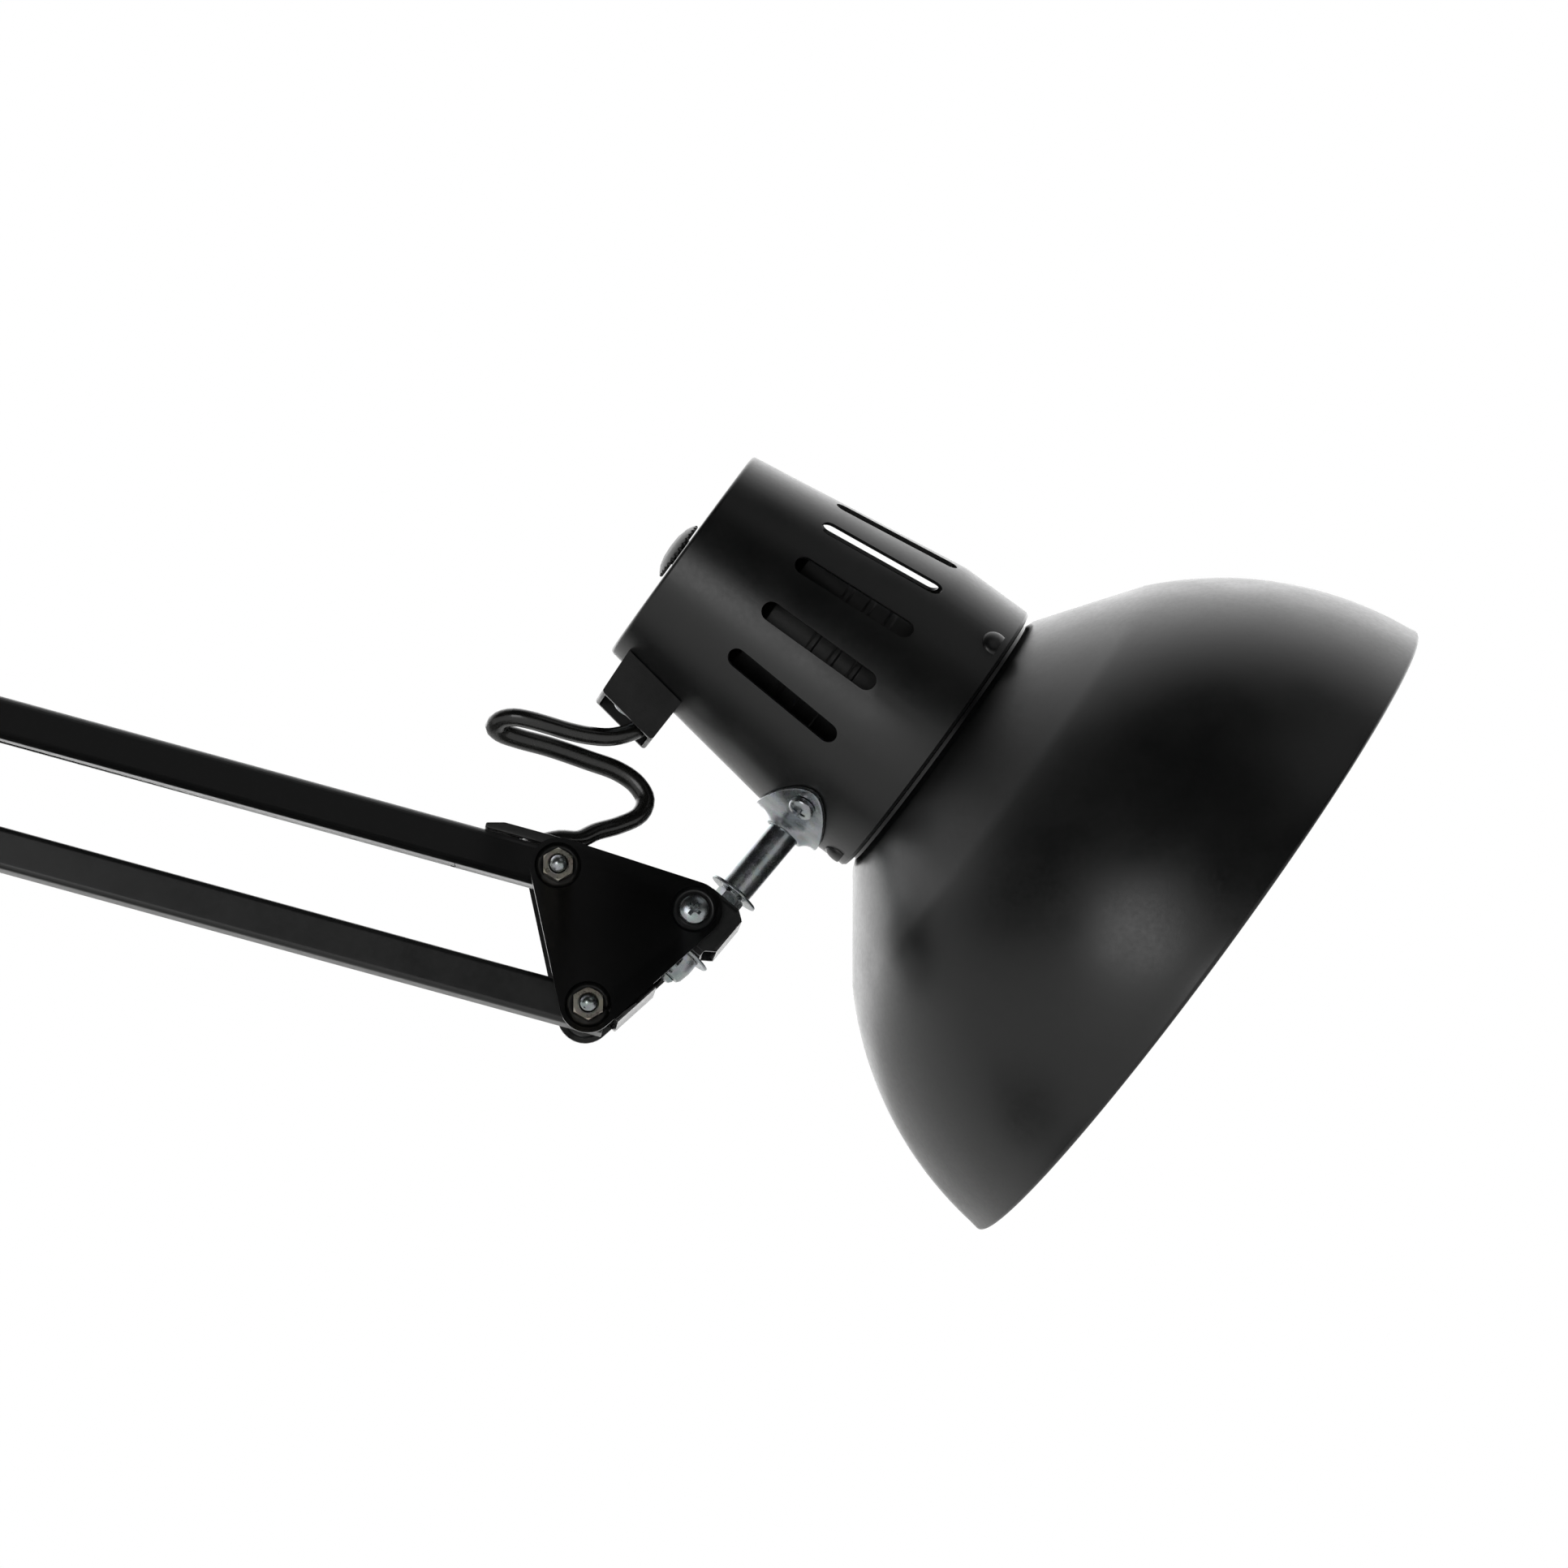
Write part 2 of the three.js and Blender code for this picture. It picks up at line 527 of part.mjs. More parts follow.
function makeYoke() {
  const group = stemFrame();
  const tilt = at(-TILT_TO_STEM.x, 0, -TILT_TO_STEM.z);
  const size = { half: 4, top: -4, bottom: -18.6, out: 6.4, webTop: -5.7, webBottom: -15.3, ear: 6 };
  const earStart = along(size.ear, 154);
  const leg = new THREE.Shape();
  leg.moveTo(-size.half, size.bottom);
  leg.lineTo(size.half, size.bottom);
  leg.lineTo(size.half, size.bottom + 1.6);
  leg.lineTo(size.out, size.webBottom);
  leg.lineTo(size.out, size.webTop);
  leg.lineTo(size.half, size.top);
  leg.lineTo(-size.half, size.top);
  leg.lineTo(tilt.x + earStart.x, tilt.z + earStart.z);
  leg.absarc(tilt.x, tilt.z, size.ear, toRadians(154), toRadians(206), false);
  leg.closePath();
  const legs = [[-LEG_OUTSIDE, -LEG_INSIDE], [LEG_INSIDE, LEG_OUTSIDE]].map(([from, to]) =>
    cut(slab(leg, from, to), rodY(HOLE_RADIUS, from - 1, to + 1).translate(tilt.x, 0, tilt.z)));
  const web = box([size.out - SHEET, -LEG_OUTSIDE, size.webBottom], [size.out, LEG_OUTSIDE, size.webTop]);
  const rodHole = cylinderZ(ROD_RADIUS + PLAY, -30, 0, 12);
  const tabs = [size.top - SHEET, size.bottom].map((from) =>
    cut(box([-size.half, -LEG_OUTSIDE, from], [size.half, LEG_OUTSIDE, from + SHEET]), rodHole));
  group.add(piece("yoke", "black_enamel", join(legs[0], legs[1], web, ...tabs)));
  group.add(piece("tilt_screw_near", "zinc", tiltScrew(tilt, -1)));
  group.add(piece("tilt_screw_far", "zinc", tiltScrew(tilt, 1)));
  return group;
}

// A short pan-head screw from the bracket plate into the yoke's leg, with its nut inside the leg.
function tiltScrew(centre, side) {
  const nut = { radius: 3.4, outside: LEG_INSIDE - PLAY, inside: LEG_INSIDE - PLAY - 2.4 };
  const profile = [
    [0, nut.inside], [nut.radius, nut.inside], [nut.radius, nut.outside], [BOLT_RADIUS, nut.outside],
    [BOLT_RADIUS, SEAT], [HEAD_RADIUS, SEAT], [HEAD_RADIUS, SEAT + 0.8], [2.8, SEAT + 1.8], [1.5, SEAT + 2.3],
    [0, SEAT + HEAD_HEIGHT],
  ].map(([radius, height]) => [radius, side * height]);
  return turnedY(profile, 14).translate(centre.x, 0, centre.z);
}

// ---------- head ----------
function stemParts() {
  const group = new THREE.Group();
  const rodEnd = -27.5;
  const washer = { radius: 6.5, bottom: -0.7 };
  const spacer = { radius: 3.7, bottom: -3.7 };
  group.add(piece("stem", "zinc", turnedZ([
    [0, rodEnd], [ROD_RADIUS - 0.6, rodEnd], [ROD_RADIUS, rodEnd + 0.6], [ROD_RADIUS, PLAY],
    [STEM_RADIUS, PLAY], [STEM_RADIUS, STEM_LENGTH], [0, STEM_LENGTH],
  ], 16)));
  group.add(piece("stem_top_washer", "zinc", ring(washer.radius, washer.bottom, 0, 16)));
  group.add(piece("stem_spacer", "zinc", ring(spacer.radius, spacer.bottom, washer.bottom - PLAY, 6)));
  return group;
}

// A washer on the stem's rod; with six sides it is a nut.
function ring(radius, from, to, sides) {
  return cut(cylinderZ(radius, from, to, sides), cylinderZ(ROD_RADIUS + PLAY, from - 1, to + 1, 10));
}

// Two ears on a turned hub with a washer face, wide across Y.
function makeWingNut() {
  const top = -19.4;
  const bottom = top - 6.6;
  const tip = { radius: 2.4, x: 5.6, z: bottom + 2.2 };
  const washerRadius = 7;
  const hub = turnedZ([[0, bottom], [3.6, bottom], [4.4, bottom + 3], [4.4, top], [0, top]], 12);
  const ear = new THREE.Shape();
  ear.moveTo(0, top - 1);
  ear.lineTo(0, bottom + 0.6);
  ear.lineTo(5.2, bottom + 0.2);
  ear.absarc(tip.x, tip.z, tip.radius, toRadians(-90), toRadians(70), false);
  ear.closePath();
  const earSlab = slab(ear, -0.9, 0.9);
  const rodHole = cylinderZ(ROD_RADIUS + PLAY, -30, 0, 12);
  const ears = [90, -90].map((degrees) => earSlab.clone().rotateZ(toRadians(degrees)));
  const washer = cylinderZ(washerRadius, top - 0.1, top + 0.6, 16);
  return piece("wing_nut", "zinc", cut(join(hub, washer, ...ears), rodHole));
}

// The head's own frame stands at the middle of the shade's mouth: +Z along its axis to the back,
// +X to the side that the stem comes from.
function headFrame() {
  const group = new THREE.Group();
  const lean = toRadians(HEAD_LEAN);
  group.position.set(MOUTH_FROM_STEM.x, 0, MOUTH_FROM_STEM.z);
  group.quaternion.setFromRotationMatrix(new THREE.Matrix4().makeBasis(
    at(Math.sin(lean), 0, -Math.cos(lean)), at(0, -1, 0), at(-Math.cos(lean), 0, -Math.sin(lean))));
  return group;
}

function shadeRadius(height, curve) {
  return Math.sqrt(curve ** 2 - (height - SHADE_CENTRE) ** 2);
}

function makeShade() {
  const heights = [3, 17, 31, 46, SHADE_CURVE_END];
  const outside = heights.map((height) => [shadeRadius(height, SHADE_CURVE), height]);
  const inside = heights.map((height) => [shadeRadius(height, SHADE_CURVE - SHADE_SHEET), height]).reverse();
  const neckInside = HOUSING_RADIUS - HOUSING_SHEET - 2.2;
  const profile = closed([
    [MOUTH_RADIUS - 1, 0], [MOUTH_RADIUS, 0.3], [MOUTH_RADIUS + 0.1, 1.4], ...outside,
    [SHADE_NECK.radius, SHADE_NECK.height], [neckInside, SHADE_NECK.height + 0.9], [neckInside, 90],
    [neckInside - SHADE_SHEET, 90], [neckInside - SHADE_SHEET, SHADE_NECK.height],
    [SHADE_NECK.radius - 1.2, SHADE_NECK.height - 0.6], ...inside, [MOUTH_RADIUS - 1.2, 1.4],
  ]);
  return piece("shade", "black_enamel", turnedZ(profile, 36));
}

function housingProfile(grow, front, back) {
  const taper = (HOUSING_RADIUS - HOUSING_BACK_RADIUS) / (HOUSING_BACK - HOUSING_TAPER_START);
  const backRadius = HOUSING_RADIUS - taper * (back - HOUSING_TAPER_START);
  return [[HOUSING_RADIUS + grow, front], [HOUSING_RADIUS + grow, HOUSING_TAPER_START], [backRadius + grow, back]];
}

function makeHousing() {
  const knobBore = 4.2;
  const outerBack = HOUSING_BACK - 2;
  const outer = housingProfile(0, HOUSING_FRONT + 2, outerBack);
  const inner = housingProfile(-HOUSING_SHEET, HOUSING_FRONT + 2, outerBack).reverse();
  const shell = turnedZ(closed([
    [HOUSING_RADIUS - 2, HOUSING_FRONT], [HOUSING_RADIUS - 0.5, HOUSING_FRONT + 0.6], ...outer,
    [HOUSING_BACK_RADIUS - 0.4, HOUSING_BACK - 0.6], [HOUSING_BACK_RADIUS - 1.8, HOUSING_BACK],
    [knobBore, HOUSING_BACK], [knobBore, HOUSING_BACK - HOUSING_SHEET],
    [HOUSING_BACK_RADIUS - 2.2, HOUSING_BACK - HOUSING_SHEET], ...inner,
    [HOUSING_RADIUS - 2, HOUSING_FRONT + 0.9],
  ]), 30);
  const slots = slotAngles().map((degrees) => slotCutter().rotateZ(toRadians(degrees)));
  return piece("housing", "black_enamel", cut(shell, ...slots));
}

// The slots look away from the stem, evenly about the top of the housing.
function slotAngles() {
  const middle = (SLOT.count - 1) / 2;
  return Array.from({ length: SLOT.count }, (_, i) => 180 + SLOT.pitch * (i - middle));
}

// A long round-ended bar that reaches out along +X, its length along Z.
function slotCutter() {
  const straight = (SLOT.length - SLOT.width) / 2;
  const outline = roundedOutline([at(-straight, 0, 0), at(straight, 0, 0)], SLOT.width / 2);
  const geometry = new THREE.ExtrudeGeometry(outline, { depth: 30, bevelEnabled: false, curveSegments: 2 });
  const frame = new THREE.Matrix4().makeBasis(UP, at(0, -1, 0), at(1, 0, 0));
  return geometry.applyMatrix4(frame).translate(20, 0, SLOT.middle);
}

// A pressed strap that wraps the housing's underside, with a short collar for the stem.
function makeSaddle() {
  const group = new THREE.Group();
  const strap = { middle: 96.2, halfHeight: 9.2, halfWidth: 22.5, thickness: 1.1 };
  const screw = { angle: 26, radius: 3.3, height: 2.2 };
  const front = strap.middle - strap.halfHeight - 2;
  const back = strap.middle + strap.halfHeight + 2;
  const shell = turnedZ(closed([
    ...housingProfile(PLAY, front, back), ...housingProfile(PLAY + strap.thickness, front, back).reverse(),
  ]), 40);
  const oval = new THREE.Shape();
  oval.absellipse(0, 0, strap.halfHeight, strap.halfWidth, 0, 2 * Math.PI, false, 0);
  const frame = new THREE.Matrix4().makeBasis(UP, at(0, -1, 0), at(1, 0, 0));
  const punch = new THREE.ExtrudeGeometry(oval, { depth: 45, bevelEnabled: false, curveSegments: 8 });
  punch.applyMatrix4(frame).translate(0, 0, strap.middle);
  group.add(piece("saddle", "zinc", common(shell, punch)));
  [["near", 1], ["far", -1]].forEach(([side, sign]) => {
    const seat = HOUSING_RADIUS + PLAY + strap.thickness + 0.2;
    const head = turnedZ([[0, seat], [screw.radius, seat], [screw.radius, seat + 0.8], [2, seat + 2], [0, seat + screw.height]], 14);
    head.rotateY(Math.PI / 2).rotateZ(toRadians(sign * screw.angle)).translate(0, 0, strap.middle);
    group.add(piece(`saddle_screw_${side}`, "zinc", head));
  });
  return group;
}

// A plastic box under the back of the housing where the cord comes out, open on its outer side.
function makeCordBox() {
  const group = new THREE.Group();
  const front = 134.3;
  const back = 152.1;
  const half = 10;
  const wall = 1.6;
  const root = 27;
  const pocketFloor = 36;
  const clamp = { floor: pocketFloor + 1.8, top: pocketFloor + 3.4, width: 5.4, length: 7.8, y: 4.3, z: 144.7 };
  const outline = new THREE.Shape();
  outline.moveTo(root, front);
  outline.lineTo(43, front + 0.6);
  outline.lineTo(40.4, back - 0.6);
  outline.lineTo(root, back);
  outline.closePath();
  const body = slab(outline, -half, half);
  const start = front - 14;
  const housing = turnedZ([[0, start], ...housingProfile(PLAY, start, HOUSING_BACK).slice(1), [0, HOUSING_BACK]], 48);
  const pocket = box([pocketFloor, wall - half, front + wall], [50, half - wall, back - wall]);
  group.add(piece("cord_box", "black_plastic", cut(body, housing, pocket)));
  const screw = turnedZ([[0, 39], [2.6, 39], [2.6, 40.2], [1.6, 41], [0, 41.1]], 12).rotateY(Math.PI / 2);
  group.add(piece("cord_clamp", "zinc", join(
    box(
      [clamp.floor, clamp.y - clamp.length / 2, clamp.z - clamp.width / 2],
      [clamp.top, clamp.y + clamp.length / 2, clamp.z + clamp.width / 2]),
    screw.translate(0, clamp.y, clamp.z))));
  return group;
}

// Lampholder with the switch in its back, and an ordinary 60 mm globe bulb with a 26 mm screw cap, all on the head's axis.
function makeLamp() {
  const group = new THREE.Group();
  const capRadius = 13.2;
  const globe = { radius: 30, centre: 64, neck: 113 };
  const holder = { radius: 24.5, rim: 21, mouth: 98.5, shoulder: 131, floor: 142, waist: 16, back: 154.4 };
  group.add(piece("lampholder", "black_plastic", turnedZ([
    [0, holder.floor], [capRadius + 0.8, holder.floor], [capRadius + 0.8, globe.neck - 1], [holder.rim, globe.neck - 7],
    [holder.rim, holder.mouth], [holder.radius, holder.mouth], [holder.radius, holder.shoulder],
    [holder.waist, holder.floor - 4], [holder.waist, holder.back - 4], [holder.waist - 3, holder.back - 4],
    [holder.waist - 3, holder.back], [0, holder.back],
  ], 16)));
  group.add(piece("bulb_cap", "brass", turnedZ(closed([
    [capRadius, globe.neck + PLAY], [capRadius, 133], [7, 137.5], [4, 139.5], [0, 139.5], [0, 137.5], [6, 135.5],
    [capRadius - 0.8, 131.5], [capRadius - 0.8, globe.neck + PLAY],
  ]), 16)));
  const arc = [-90, -60, -30, 0, 30].map((degrees) => along(1, degrees));
  const outside = arc.map((way) => [globe.radius * way.x, globe.centre + globe.radius * way.z]);
  const inner = globe.radius - 0.8;
  const inside = arc.map((way) => [inner * way.x, globe.centre + inner * way.z]).reverse();
  group.add(piece("bulb_globe", "frosted_glass", turnedZ(closed([
    ...outside, [17, 96], [12.6, globe.neck], [11.8, globe.neck], [16.2, 96], ...inside,
  ]), 16)));
  return group;
}

// The knob on the back of the housing: a thin flange with a low dome, on a shaft through the back wall.
function makeSwitchKnob() {
  const foot = HOUSING_BACK + PLAY + 0.2;
  return piece("switch_knob", "black_plastic", turnedZ([
    [0, HOUSING_BACK - 0.9], [3.6, HOUSING_BACK - 0.9], [3.6, foot], [7.4, foot], [7.6, foot + 0.5], [6.9, foot + 1.1],
    [5.6, foot + 1.9], [3, foot + 2.6], [0, foot + 2.8],
  ], 16));
}

// ---------- cord ----------
// A round tube through the given points, as steps of the given length.
function cordTube(points, step = 13) {
  const curve = new THREE.CatmullRomCurve3(points, false, "centripetal");
  const steps = Math.max(4, Math.round(curve.getLength() / step));
  const section = new THREE.Shape();
  section.absarc(0, 0, CORD_RADIUS, 0, 2 * Math.PI, false);
  return new THREE.ExtrudeGeometry(section, { steps, curveSegments: 4, bevelEnabled: false, extrudePath: curve });
}

function route(origin, offsets) {
  return offsets.map(([x, y, z]) => origin.clone().add(at(x, y, z)));
}

// The end of a route inside a bar: the cord lifts out through the slot near the bar's pivot.
// "toEnd" is +1 where the bar's end lies along its own +X.
function slotRoute(pivot, degrees, toEnd) {
  const across = along(1, degrees + 90);
  const outward = along(toEnd, degrees);
  return [[-14.5, 0.6], [-10.5, 2.8], [-6, 5.7], [-1.5, 8.1], [3, 9.2]].map(([distance, lift]) =>
    pivot.clone().addScaledVector(outward, distance).addScaledVector(across, lift));
}

// From the cord box through one loop down to the tip of the upper arm, measured from the arm's last pivot.
const HEAD_LOOP = [
  [19.9, -3.3, 34.9], [16, -4, 33.2], [12.3, -5, 32.4], [7.3, -6, 32.6], [2.6, -7, 33.4], [-2.1, -8, 34.6],
  [-6.8, -8.6, 35.8], [-10.6, -8.2, 36.5], [-13.6, -6.6, 36.2], [-15, -4.4, 35], [-13.6, -2, 33.8],
  [-9.2, 0, 32.6], [-1.9, 2, 31], [7.7, 4, 28.1], [15, 5, 25.6], [19.6, 5, 22.3],
  [21.6, 4.5, 18.3], [20.1, 3.5, 14.7], [15, 2.5, 12], [9.5, 1.2, 10.2],
];
// Over the elbow, measured from the lower arm's rear top pivot.
const ELBOW_LOOP = [
  [33, 0, 64], [24, 0, 66.5], [12, 0, 66.5], [1, 0, 62.5], [-9, 0, 54.5], [-17, 0, 43],
  [-21.5, 0, 30], [-21.5, 0, 18], [-17, 0, 8.5],
];
// From the foot of the rear bar down to the grip on the turret, measured from the rear foot pivot.
const FOOT_LOOP = [[-18.5, 0, 20], [-21.5, 0, 11], [-22.4, 0, 1], [-21, 0, -9], [-17, 0, -19], [-13.8, 0, -26]];
// From the grip over the base and down behind it to the coil.
const LEAD = [
  [-37.5, 0, 38.1], [-44, 0, 36], [-52, 0, 30.5], [-60, 0, 24], [-69, 0, 18.9], [-80, 0, 16.9], [-92, 0, 16.6],
  [-103, 0, 16.8], [-111, 0, 16.1], [-118, -0.5, 12.2], [-125, -2.5, 6.9], [-132, -6.5, 3.7],
  [-139, -13, 2.9], [-145.5, -22, 2.9], [-153, -31.5, 2.9], [-162, -38.5, 2.9],
];
// From the coil's top turn to the plug.
const TAIL = [[-190, 42.6, 7.6], [-183, 43.6, 7], [-176, 44, 6.9], [-169.4, 44, 7]];
const PLUG_START = { x: -169, y: 44, z: 7 };

function makeCords() {
  const group = new THREE.Group();
  const upperTip = slotRoute(topTip, UPPER_ARM_ANGLE, 1).reverse();
  const upperRoot = slotRoute(topRoot, UPPER_ARM_ANGLE, -1);
  const lowerTip = slotRoute(rearTop, LOWER_ARM_ANGLE, 1).reverse();
  const lowerFoot = slotRoute(rearFoot.clone().add(along(FOOT_RISE, LOWER_ARM_ANGLE)), LOWER_ARM_ANGLE, -1);
  group.add(piece("head_cord", "black_cord", cordTube([...route(topTip, HEAD_LOOP), ...upperTip], 8)));
  group.add(piece("elbow_cord", "black_cord", cordTube([...upperRoot, ...route(rearTop, ELBOW_LOOP), ...lowerTip])));
  group.add(piece("foot_cord", "black_cord", cordTube([...lowerFoot, ...route(rearFoot, FOOT_LOOP)])));
  group.add(piece("lead_cord", "black_cord", cordTube(LEAD.map((point) => at(...point)))));
  const inner = COIL.radius - COIL.halfWidth;
  const outer = COIL.radius + COIL.halfWidth;
  const shoulder = COIL.height - 4.6;
  const topHalf = COIL.halfWidth - 2.6;
  group.add(piece("lead_coil", "black_cord", turnedZ(closed([
    [inner, PLAY], [outer, PLAY], [outer, shoulder], [COIL.radius + topHalf, COIL.height],
    [COIL.radius - topHalf, COIL.height], [inner, shoulder],
  ]), 20).translate(COIL.x, 0, 0)));
  group.add(piece("lead_tail", "black_cord", cordTube(TAIL.map((point) => at(...point)))));
  group.add(makePlug());
  return group;
}

// A flat two-pin plug that lies on its broad side.
function makePlug() {
  const thickness = 13.4;
  const length = 34;
  const pin = { spacing: 19, radius: 2, end: length + 19 };
  const side = [[0, 3.2], [9, 4], [14, 8], [length, 12.5]];
  const mirrored = side.map(([x, y]) => [x, -y]).reverse();
  const outline = new THREE.Shape([...mirrored, ...side].map(([x, y]) => new THREE.Vector2(x, y)));
  const body = new THREE.ExtrudeGeometry(outline, { depth: thickness, bevelEnabled: false });
  body.translate(0, 0, -PLUG_START.z + PLAY);
  const pins = [-pin.spacing / 2, pin.spacing / 2].map((y) => turnedZ([
    [0, length - 4], [pin.radius, length - 4], [pin.radius, pin.end - 1], [pin.radius - 0.8, pin.end], [0, pin.end],
  ], 10).rotateY(Math.PI / 2).translate(0, y, 0));
  const plug = piece("plug", "black_plastic", join(body, ...pins));
  plug.position.set(PLUG_START.x, PLUG_START.y, PLUG_START.z);
  return plug;
}

// ---------- the lamp ----------
const lamp = new THREE.Group();
lamp.add(makeBase());
lamp.add(makeTurret());
lamp.add(...makeLowerArm());
lamp.add(makeElbow());
lamp.add(...makeUpperArm());
lamp.add(makeSprings());
lamp.add(makeHeadBracket());
lamp.add(makeYoke());

const head = stemFrame();
head.rotateZ(toRadians(HEAD_TURN));
head.add(stemParts());
head.add(makeWingNut());
const shadeAssembly = headFrame();
shadeAssembly.add(makeShade());
shadeAssembly.add(makeHousing());
shadeAssembly.add(makeSaddle());
shadeAssembly.add(makeCordBox());
shadeAssembly.add(makeLamp());
shadeAssembly.add(makeSwitchKnob());
head.add(shadeAssembly);
lamp.add(head);
lamp.add(makeCords());

export default lamp;
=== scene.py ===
"""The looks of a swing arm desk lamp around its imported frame.

Shapes are drawn in millimetres, in the same frame as the solids, and turned into metres
when they are put in their place.
"""
import math

import bmesh
import bpy
from mathutils import Matrix, Vector


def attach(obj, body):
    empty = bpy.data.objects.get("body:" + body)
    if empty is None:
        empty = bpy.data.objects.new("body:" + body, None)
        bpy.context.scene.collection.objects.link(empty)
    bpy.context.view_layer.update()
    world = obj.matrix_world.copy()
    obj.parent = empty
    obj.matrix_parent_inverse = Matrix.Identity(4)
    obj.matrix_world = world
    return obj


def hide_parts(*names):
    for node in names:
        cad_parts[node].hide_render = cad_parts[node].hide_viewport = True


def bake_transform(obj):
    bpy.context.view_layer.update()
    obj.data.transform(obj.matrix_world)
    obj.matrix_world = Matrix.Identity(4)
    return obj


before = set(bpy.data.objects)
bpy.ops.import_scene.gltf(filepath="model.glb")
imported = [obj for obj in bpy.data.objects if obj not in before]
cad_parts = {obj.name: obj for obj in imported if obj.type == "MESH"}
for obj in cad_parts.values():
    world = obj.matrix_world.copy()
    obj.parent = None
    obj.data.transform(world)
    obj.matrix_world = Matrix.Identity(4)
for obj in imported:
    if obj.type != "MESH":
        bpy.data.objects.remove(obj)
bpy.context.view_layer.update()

# ---------- driving dimensions, as in the solids ----------
PLAY = 0.3
ARM_LENGTH = 400
LOWER_ARM_ANGLE = 105
UPPER_ARM_ANGLE = -15
HOLE_PITCH = 34.3
BRACKET_TURN = -77.6
BAR_SIZE = 10
BAR_WALL = 0.9
BAR_END = 5
SHEET = 1.2
PLATE_INSIDE = 10.4
PLATE_OUTSIDE = PLATE_INSIDE + SHEET
EDGE_RADIUS = 6.8
DISH_DEPTH = 0.7
DISH_RADIUS = 5.6
BOLT_RADIUS = 2
HOLE_RADIUS = BOLT_RADIUS + PLAY
SLEEVE_RADIUS = 4.2
NUT_ACROSS = 7
NUT_HEIGHT = 3
HEAD_RADIUS = 3.6
HEAD_HEIGHT = 2.4
SEAT = PLATE_OUTSIDE - DISH_DEPTH + 0.2
SLEEVE_OUT = PLATE_INSIDE - DISH_DEPTH - PLAY
SLEEVE_IN = BAR_SIZE / 2 + PLAY

BASE_RADIUS = 110
PAD_TOP = 1.5
BASE_TOP = 13.5
POST_RADIUS = 5.9
COLLAR_TOP = BASE_TOP + 16
TURRET_WEB = COLLAR_TOP + 2.6
SPRING_BOLT_HEIGHT = TURRET_WEB + 13.5

STEM_ANGLE = 50.4
STEM_RADIUS = 4
STEM_LENGTH = 19.4
ROD_RADIUS = 2.5
HEAD_TURN = 3.8
HEAD_LEAN = 4.1

MOUTH_RADIUS = 90
SHADE_CURVE = 90.3
SHADE_CENTRE = -7.1
SHADE_CURVE_END = 60
SHADE_NECK_RADIUS = 37.6
SHADE_NECK_HEIGHT = 76.8
SHADE_SHEET = 0.9
HOUSING_RADIUS = 38
HOUSING_FRONT = 78.6
HOUSING_TAPER_START = 97.9
HOUSING_BACK = 155.7
HOUSING_BACK_RADIUS = 29.3
HOUSING_SHEET = 0.9
SLOT_COUNT = 11
SLOT_PITCH = 24.4
SLOT_LENGTH = 32.6
SLOT_WIDTH = 4.8
SLOT_MIDDLE = 116.1

SPRING_SIDE = 5.5
SPRING_DROP = 9.4
LOWER_REACH = 150
UPPER_REACH = 140

CORD_WIDE = 2.65
CORD_THIN = 2.2
COIL_X = -185
FOOT_RISE = 31
BUSH_PAST = 4.5

BOLT_EDGE = 0.12
SHEET_EDGE = 0.22


def along(length, degrees):
    turn = math.radians(degrees)
    return Vector((length * math.cos(turn), 0, length * math.sin(turn)))


# ---------- places that follow from them ----------
SPRING_BOLT = Vector((1, 0, SPRING_BOLT_HEIGHT))
REAR_FOOT = Vector((-HOLE_PITCH / 2, 0, SPRING_BOLT_HEIGHT + HOLE_PITCH * math.sin(math.pi / 3)))
FRONT_FOOT = REAR_FOOT + Vector((HOLE_PITCH, 0, 0))
REAR_TOP = REAR_FOOT + along(ARM_LENGTH, LOWER_ARM_ANGLE)
FRONT_TOP = FRONT_FOOT + along(ARM_LENGTH, LOWER_ARM_ANGLE)
BOTTOM_ROOT = FRONT_TOP + Vector((16, 0, 18))
TOP_ROOT = BOTTOM_ROOT - along(HOLE_PITCH, BRACKET_TURN)
ELBOW_SPRING_BOLT = FRONT_TOP + Vector((2, 0, 38))
TOP_TIP = TOP_ROOT + along(ARM_LENGTH, UPPER_ARM_ANGLE)
BOTTOM_TIP = BOTTOM_ROOT + along(ARM_LENGTH, UPPER_ARM_ANGLE)
TILT_HOLE = TOP_TIP + along(HOLE_PITCH, BRACKET_TURN + 60)

METRES = Matrix.Scale(0.001, 4)
STEM_TURN = Matrix.Rotation(math.radians(90 - STEM_ANGLE), 4, "Y")
TILT_IN_STEM = Vector((-4.2, 0, -11.2))
STEM_FOOT = TILT_HOLE - STEM_TURN.to_3x3() @ TILT_IN_STEM
STEM_FRAME = METRES @ Matrix.Translation(STEM_FOOT) @ STEM_TURN
HEAD_STEM_FRAME = STEM_FRAME @ Matrix.Rotation(math.radians(HEAD_TURN), 4, "Z")


def head_basis():
    lean = math.radians(HEAD_LEAN)
    x, y, z = (math.sin(lean), 0, -math.cos(lean)), (0, -1, 0), (-math.cos(lean), 0, -math.sin(lean))
    return Matrix((x, y, z)).transposed().to_4x4()


HEAD_FRAME = HEAD_STEM_FRAME @ Matrix.Translation((92.5, 0, 66.2)) @ head_basis()


def bar_frame(root, degrees):
    """Along the bar from its root is +X, and +Z is the side that carries the cord."""
    return METRES @ Matrix.Translation(root) @ Matrix.Rotation(-math.radians(degrees), 4, "Y")


LOWER_REAR = bar_frame(REAR_FOOT, LOWER_ARM_ANGLE)
LOWER_FRONT = bar_frame(FRONT_FOOT, LOWER_ARM_ANGLE)
UPPER_TOP = bar_frame(TOP_ROOT, UPPER_ARM_ANGLE)
UPPER_BOTTOM = bar_frame(BOTTOM_ROOT, UPPER_ARM_ANGLE)


